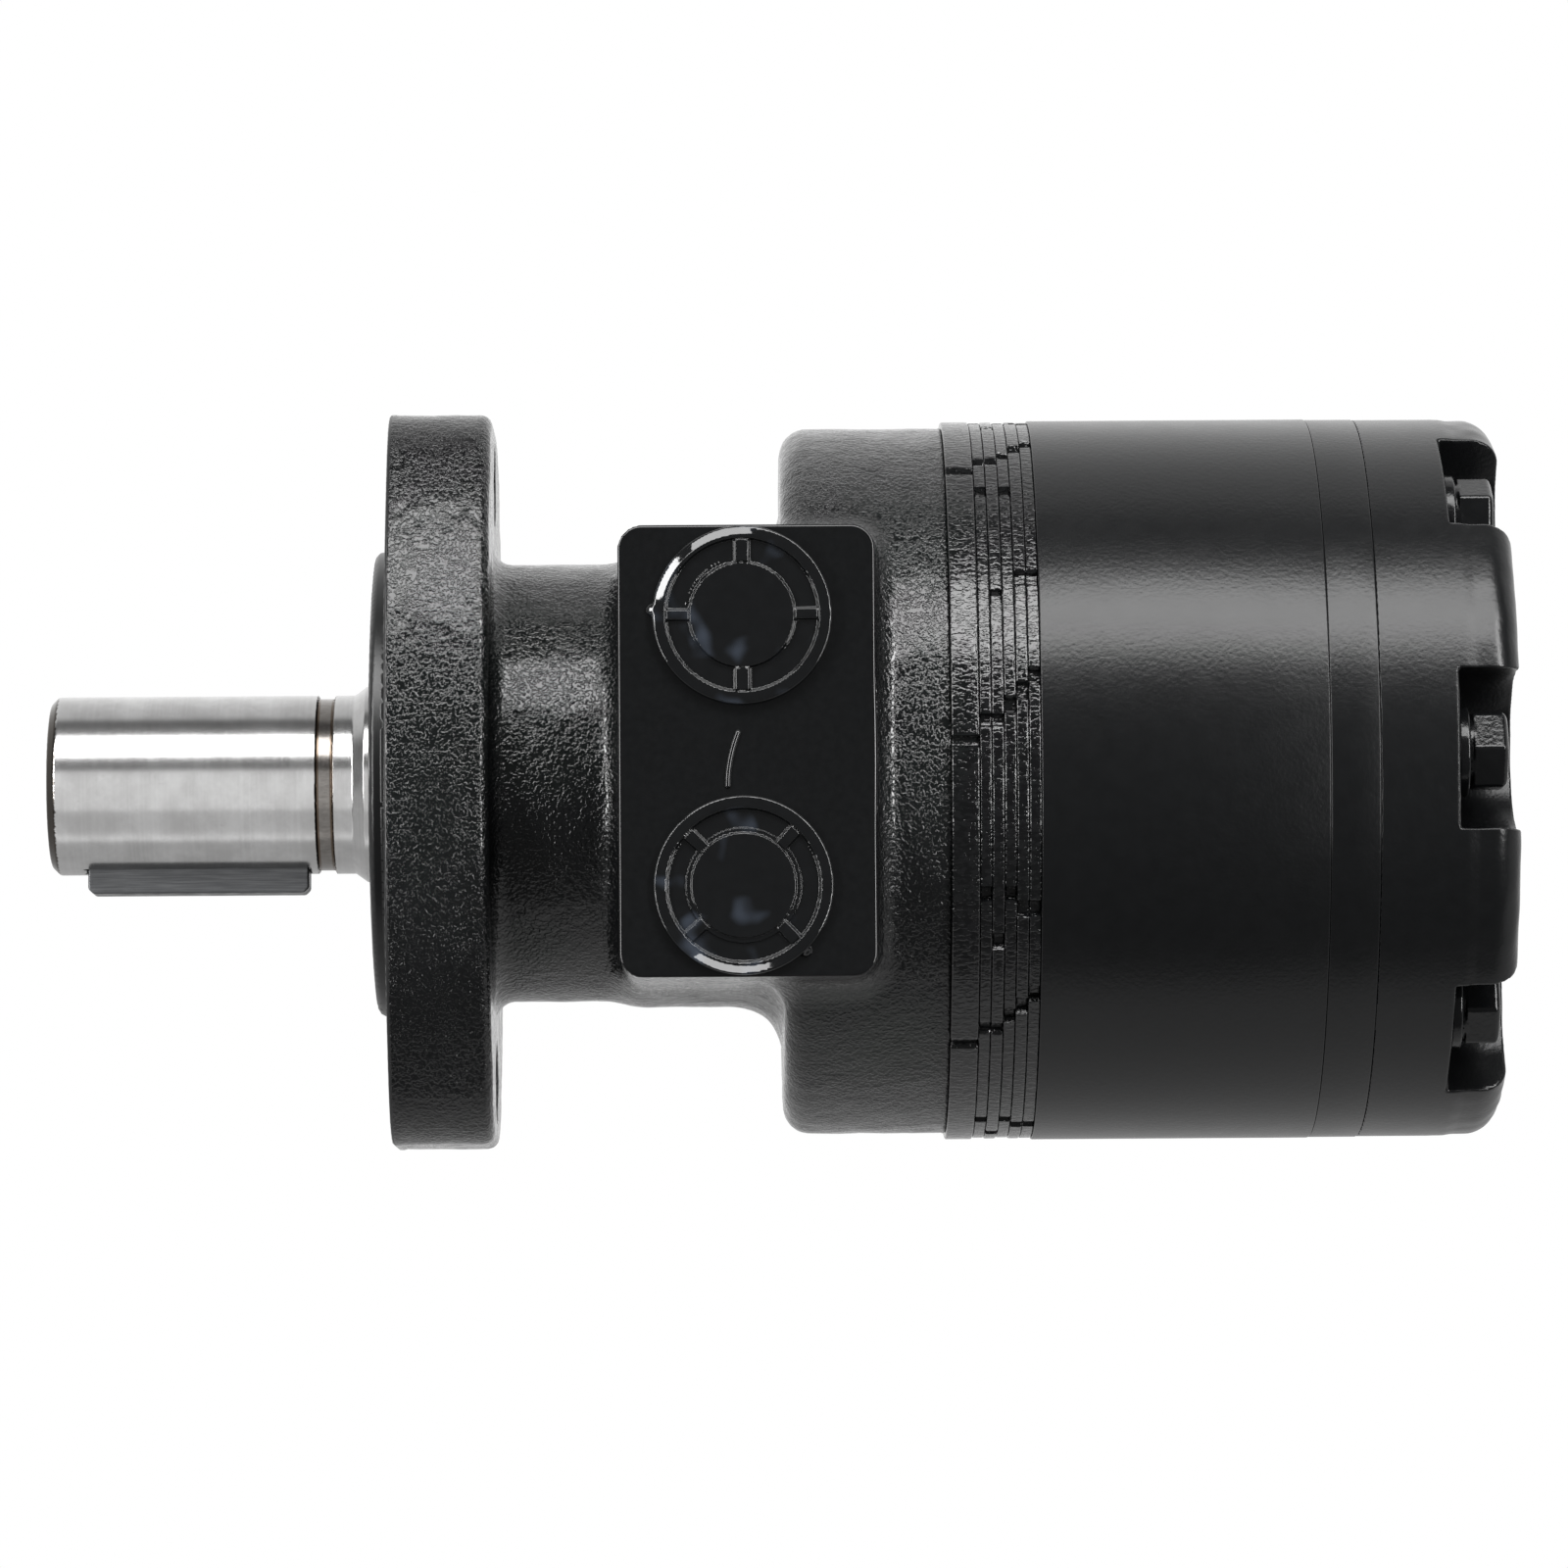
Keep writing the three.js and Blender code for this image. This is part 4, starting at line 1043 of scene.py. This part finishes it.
def build_motor():
    cast = cast_paint()
    satin = smooth_paint("machined_satin_paint", 0.00004, 0.25, 0.27, 1.3, SATIN)
    bolt_paint = smooth_paint("bolt_gloss_paint", 0.00006, 0.14, 0.22, 1.2, BOLT_GLOSS)
    cap_paint = plug_paint()
    layered = lamination_paint()
    steel = turned_steel()
    case = "motor_case"
    dress(housing(), cast, "cast_paint", case, "housing")
    upper, lower = (plug_piece(plug) for plug in PLUGS)
    dress(paint_run(), cap_paint, "cast_paint", case)
    dress(upper, cap_paint, "plug_plastic", case, "port_plug_upper")
    dress(lower, cap_paint, "plug_plastic", case, "port_plug_lower")
    dress(dust_seal(), seal_rubber(), "seal_rubber", case, "dust_seal")
    dress(output_shaft(), steel, "shaft_steel", "shaft", "output_shaft")
    dress(shaft_key(), key_steel(), "shaft_steel", "shaft", "shaft_key")
    for number, plate in enumerate(manifold_plates(), start=1):
        dress(plate, layered, "smooth_paint", case, f"manifold_plate_{number}")
    dress(rotor_ring(), satin, "smooth_paint", case, "stator")
    dress(balance_plate(), satin, "smooth_paint", case, "balance_plate")
    dress(end_cover(), satin, "smooth_paint", case, "end_cover")
    for k, (bolt, washer) in enumerate(zip(*cover_bolts()), start=1):
        dress(bolt, bolt_paint, "smooth_paint", case, f"cover_bolt_{k}")
        dress(washer, bolt_paint, "smooth_paint", case, f"bolt_washer_{k}")


INNER_RUBBER = ("shaft_seal", "body_seal_")
REPLACED = ("housing", "port_plug_", "dust_seal", "output_shaft", "shaft_key", "manifold_plate_",
            "stator", "balance_plate", "end_cover", "cover_bolt_", "bolt_washer_")


def finish_inner_nodes():
    """Procedural materials for the CAD nodes that stay."""
    metal, rubber = ground_steel(), bpy.data.materials["nitrile_rubber"]
    for name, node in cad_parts.items():
        if name.startswith(REPLACED):
            continue
        material = rubber if name.startswith(INNER_RUBBER) else metal
        for slot in node.material_slots:
            slot.material = material


# ---- Studio ----------------------------------------------------------------------------------------------


def studio_world():
    """White to the camera; to the object, a dim side towards the camera and bright walls behind and above."""
    world = bpy.data.worlds.new("studio")
    bpy.context.scene.world = world
    world.use_nodes = True
    n = Nodes(world.node_tree)
    direction = n.add("ShaderNodeTexCoord", output=0)
    _, y, z = n.split(direction)
    dim, below = 0.11, 0.56
    above = n.remap(z, -0.25, 0.25)
    start = n.math("MULTIPLY_ADD", above, 0.33, -0.42)
    ahead = n.remap(n.math("SUBTRACT", y, start), 0.0, 0.2)
    bright = n.remap(y, 0.1, 0.9, 0.75, 1.15)
    upper = n.math("MULTIPLY_ADD", n.math("SUBTRACT", bright, below), above, below)
    level = n.math("MULTIPLY_ADD", n.math("SUBTRACT", upper, dim), ahead, dim)
    lit = n.add("ShaderNodeBackground", {"Color": (1, 1, 1, 1), "Strength": level})
    seen = n.add("ShaderNodeBackground", {"Color": (1, 1, 1, 1), "Strength": 1.0})
    camera_ray = n.add("ShaderNodeLightPath")
    mixed = n.add("ShaderNodeMixShader", {0: camera_ray, 1: lit, 2: seen})
    n.tree.links.new(mixed, n.tree.nodes.new("ShaderNodeOutputWorld").inputs["Surface"])


# Name, turn to the right of the camera, elevation, width, height and radiance.
STUDIO_LIGHTS = (
    ("softbox_main", 0, 48, 1.5, 0.58, 8.5),
    ("edge_strip_left", -52, 12, 0.22, 1.4, 18.0),
    ("edge_strip_right", 43, 12, 0.22, 1.4, 18.0),
)
STEEL_LIGHTS = (("steel_fill_10", 0, -10, 1.6, 0.84, 1.0), ("steel_fill_57", 0, -57, 1.6, 0.76, 0.6))
STUDIO_DISTANCE, STEEL_DISTANCE = 1.3, 0.9


def softbox(aim_x, distance, name, turn, elevation, width, height, radiance):
    """A plain area light aimed at a place on the axis, given in millimetres from the mounting face."""
    light = bpy.data.lights.new(name, "AREA")
    light.shape = "RECTANGLE"
    light.size, light.size_y = width, height
    light.energy = radiance * math.pi * width * height
    lamp = bpy.data.objects.new(name, light)
    bpy.context.scene.collection.objects.link(lamp)
    middle = (MOUNTING_FACE[0] + aim_x) * MM
    aim = Matrix.Translation((middle, 0, 0)) @ Matrix.Rotation(math.radians(turn), 4, "Z")
    tilt = Matrix.Rotation(TURN / 4 - math.radians(elevation), 4, "X")
    lamp.matrix_world = aim @ tilt @ Matrix.Translation((0, 0, distance))
    return lamp


def steel_fill():
    """Low, wide lights that reach only the bare steel of the shaft and its key."""
    lit = bpy.data.collections.new("bare_steel")
    for name in ("turned_shaft", "drive_key"):
        lit.objects.link(bpy.data.objects[name])
    for light in STEEL_LIGHTS:
        lamp = softbox(SHAFT_LOW[0] / 2, STEEL_DISTANCE, *light)
        lamp.light_linking.receiver_collection = lit


def floor():
    """A pale sheet just under the flange, clear from below and left out of the object's own light."""
    mesh = bpy.data.meshes.new("studio_floor")
    gap, reach = 0.0002, 3.0
    level = -FLANGE_HALF_HEIGHT * MM - gap
    corners = [(-reach, -reach), (reach, -reach), (reach, reach), (-reach, reach)]
    mesh.from_pydata([(x, y, level) for x, y in corners], [], [(0, 1, 2, 3)])
    sheet = bpy.data.objects.new("studio_floor", mesh)
    bpy.context.scene.collection.objects.link(sheet)
    made, n = new_material("pale_floor")
    paper = n.add("ShaderNodeBsdfDiffuse", {"Color": (0.32, 0.32, 0.32, 1)})
    clear = n.add("ShaderNodeBsdfTransparent")
    behind = n.add("ShaderNodeNewGeometry", output=6)
    n.add_output(n.add("ShaderNodeMixShader", {0: behind, 1: paper, 2: clear}))
    mesh.materials.append(made)
    sheet.visible_glossy = False
    sheet.visible_diffuse = False
    sheet.visible_shadow = False


CAMERA_LENS, CAMERA_SENSOR, CAMERA_SHIFT = 178.0, 36.0, (0.03625, -0.0011)
CAMERA_AIM, CAMERA_DISTANCE = 59.3, 1.381
CAMERA_ELEVATION, CAMERA_ROLL = math.radians(-4.7), math.radians(-0.37)


def camera():
    data = bpy.data.cameras.new("camera")
    data.sensor_width = CAMERA_SENSOR
    data.lens = CAMERA_LENS
    data.shift_x, data.shift_y = CAMERA_SHIFT
    view = bpy.data.objects.new("camera", data)
    bpy.context.scene.collection.objects.link(view)
    aim_x = (MOUNTING_FACE[0] + CAMERA_AIM) * MM
    back, up = CAMERA_DISTANCE * math.cos(CAMERA_ELEVATION), CAMERA_DISTANCE * math.sin(CAMERA_ELEVATION)
    tilt = Matrix.Rotation(TURN / 4 - CAMERA_ELEVATION, 4, "X")
    roll = Matrix.Rotation(CAMERA_ROLL, 4, "Z")
    view.matrix_world = Matrix.Translation((aim_x, -back, up)) @ tilt @ roll
    bpy.context.scene.camera = view


build_motor()
finish_inner_nodes()
studio_world()
for light in STUDIO_LIGHTS:
    softbox(BELL_BACK * 0.7, STUDIO_DISTANCE, *light)
steel_fill()
floor()
camera()
bpy.context.scene.view_settings.view_transform = "Standard"
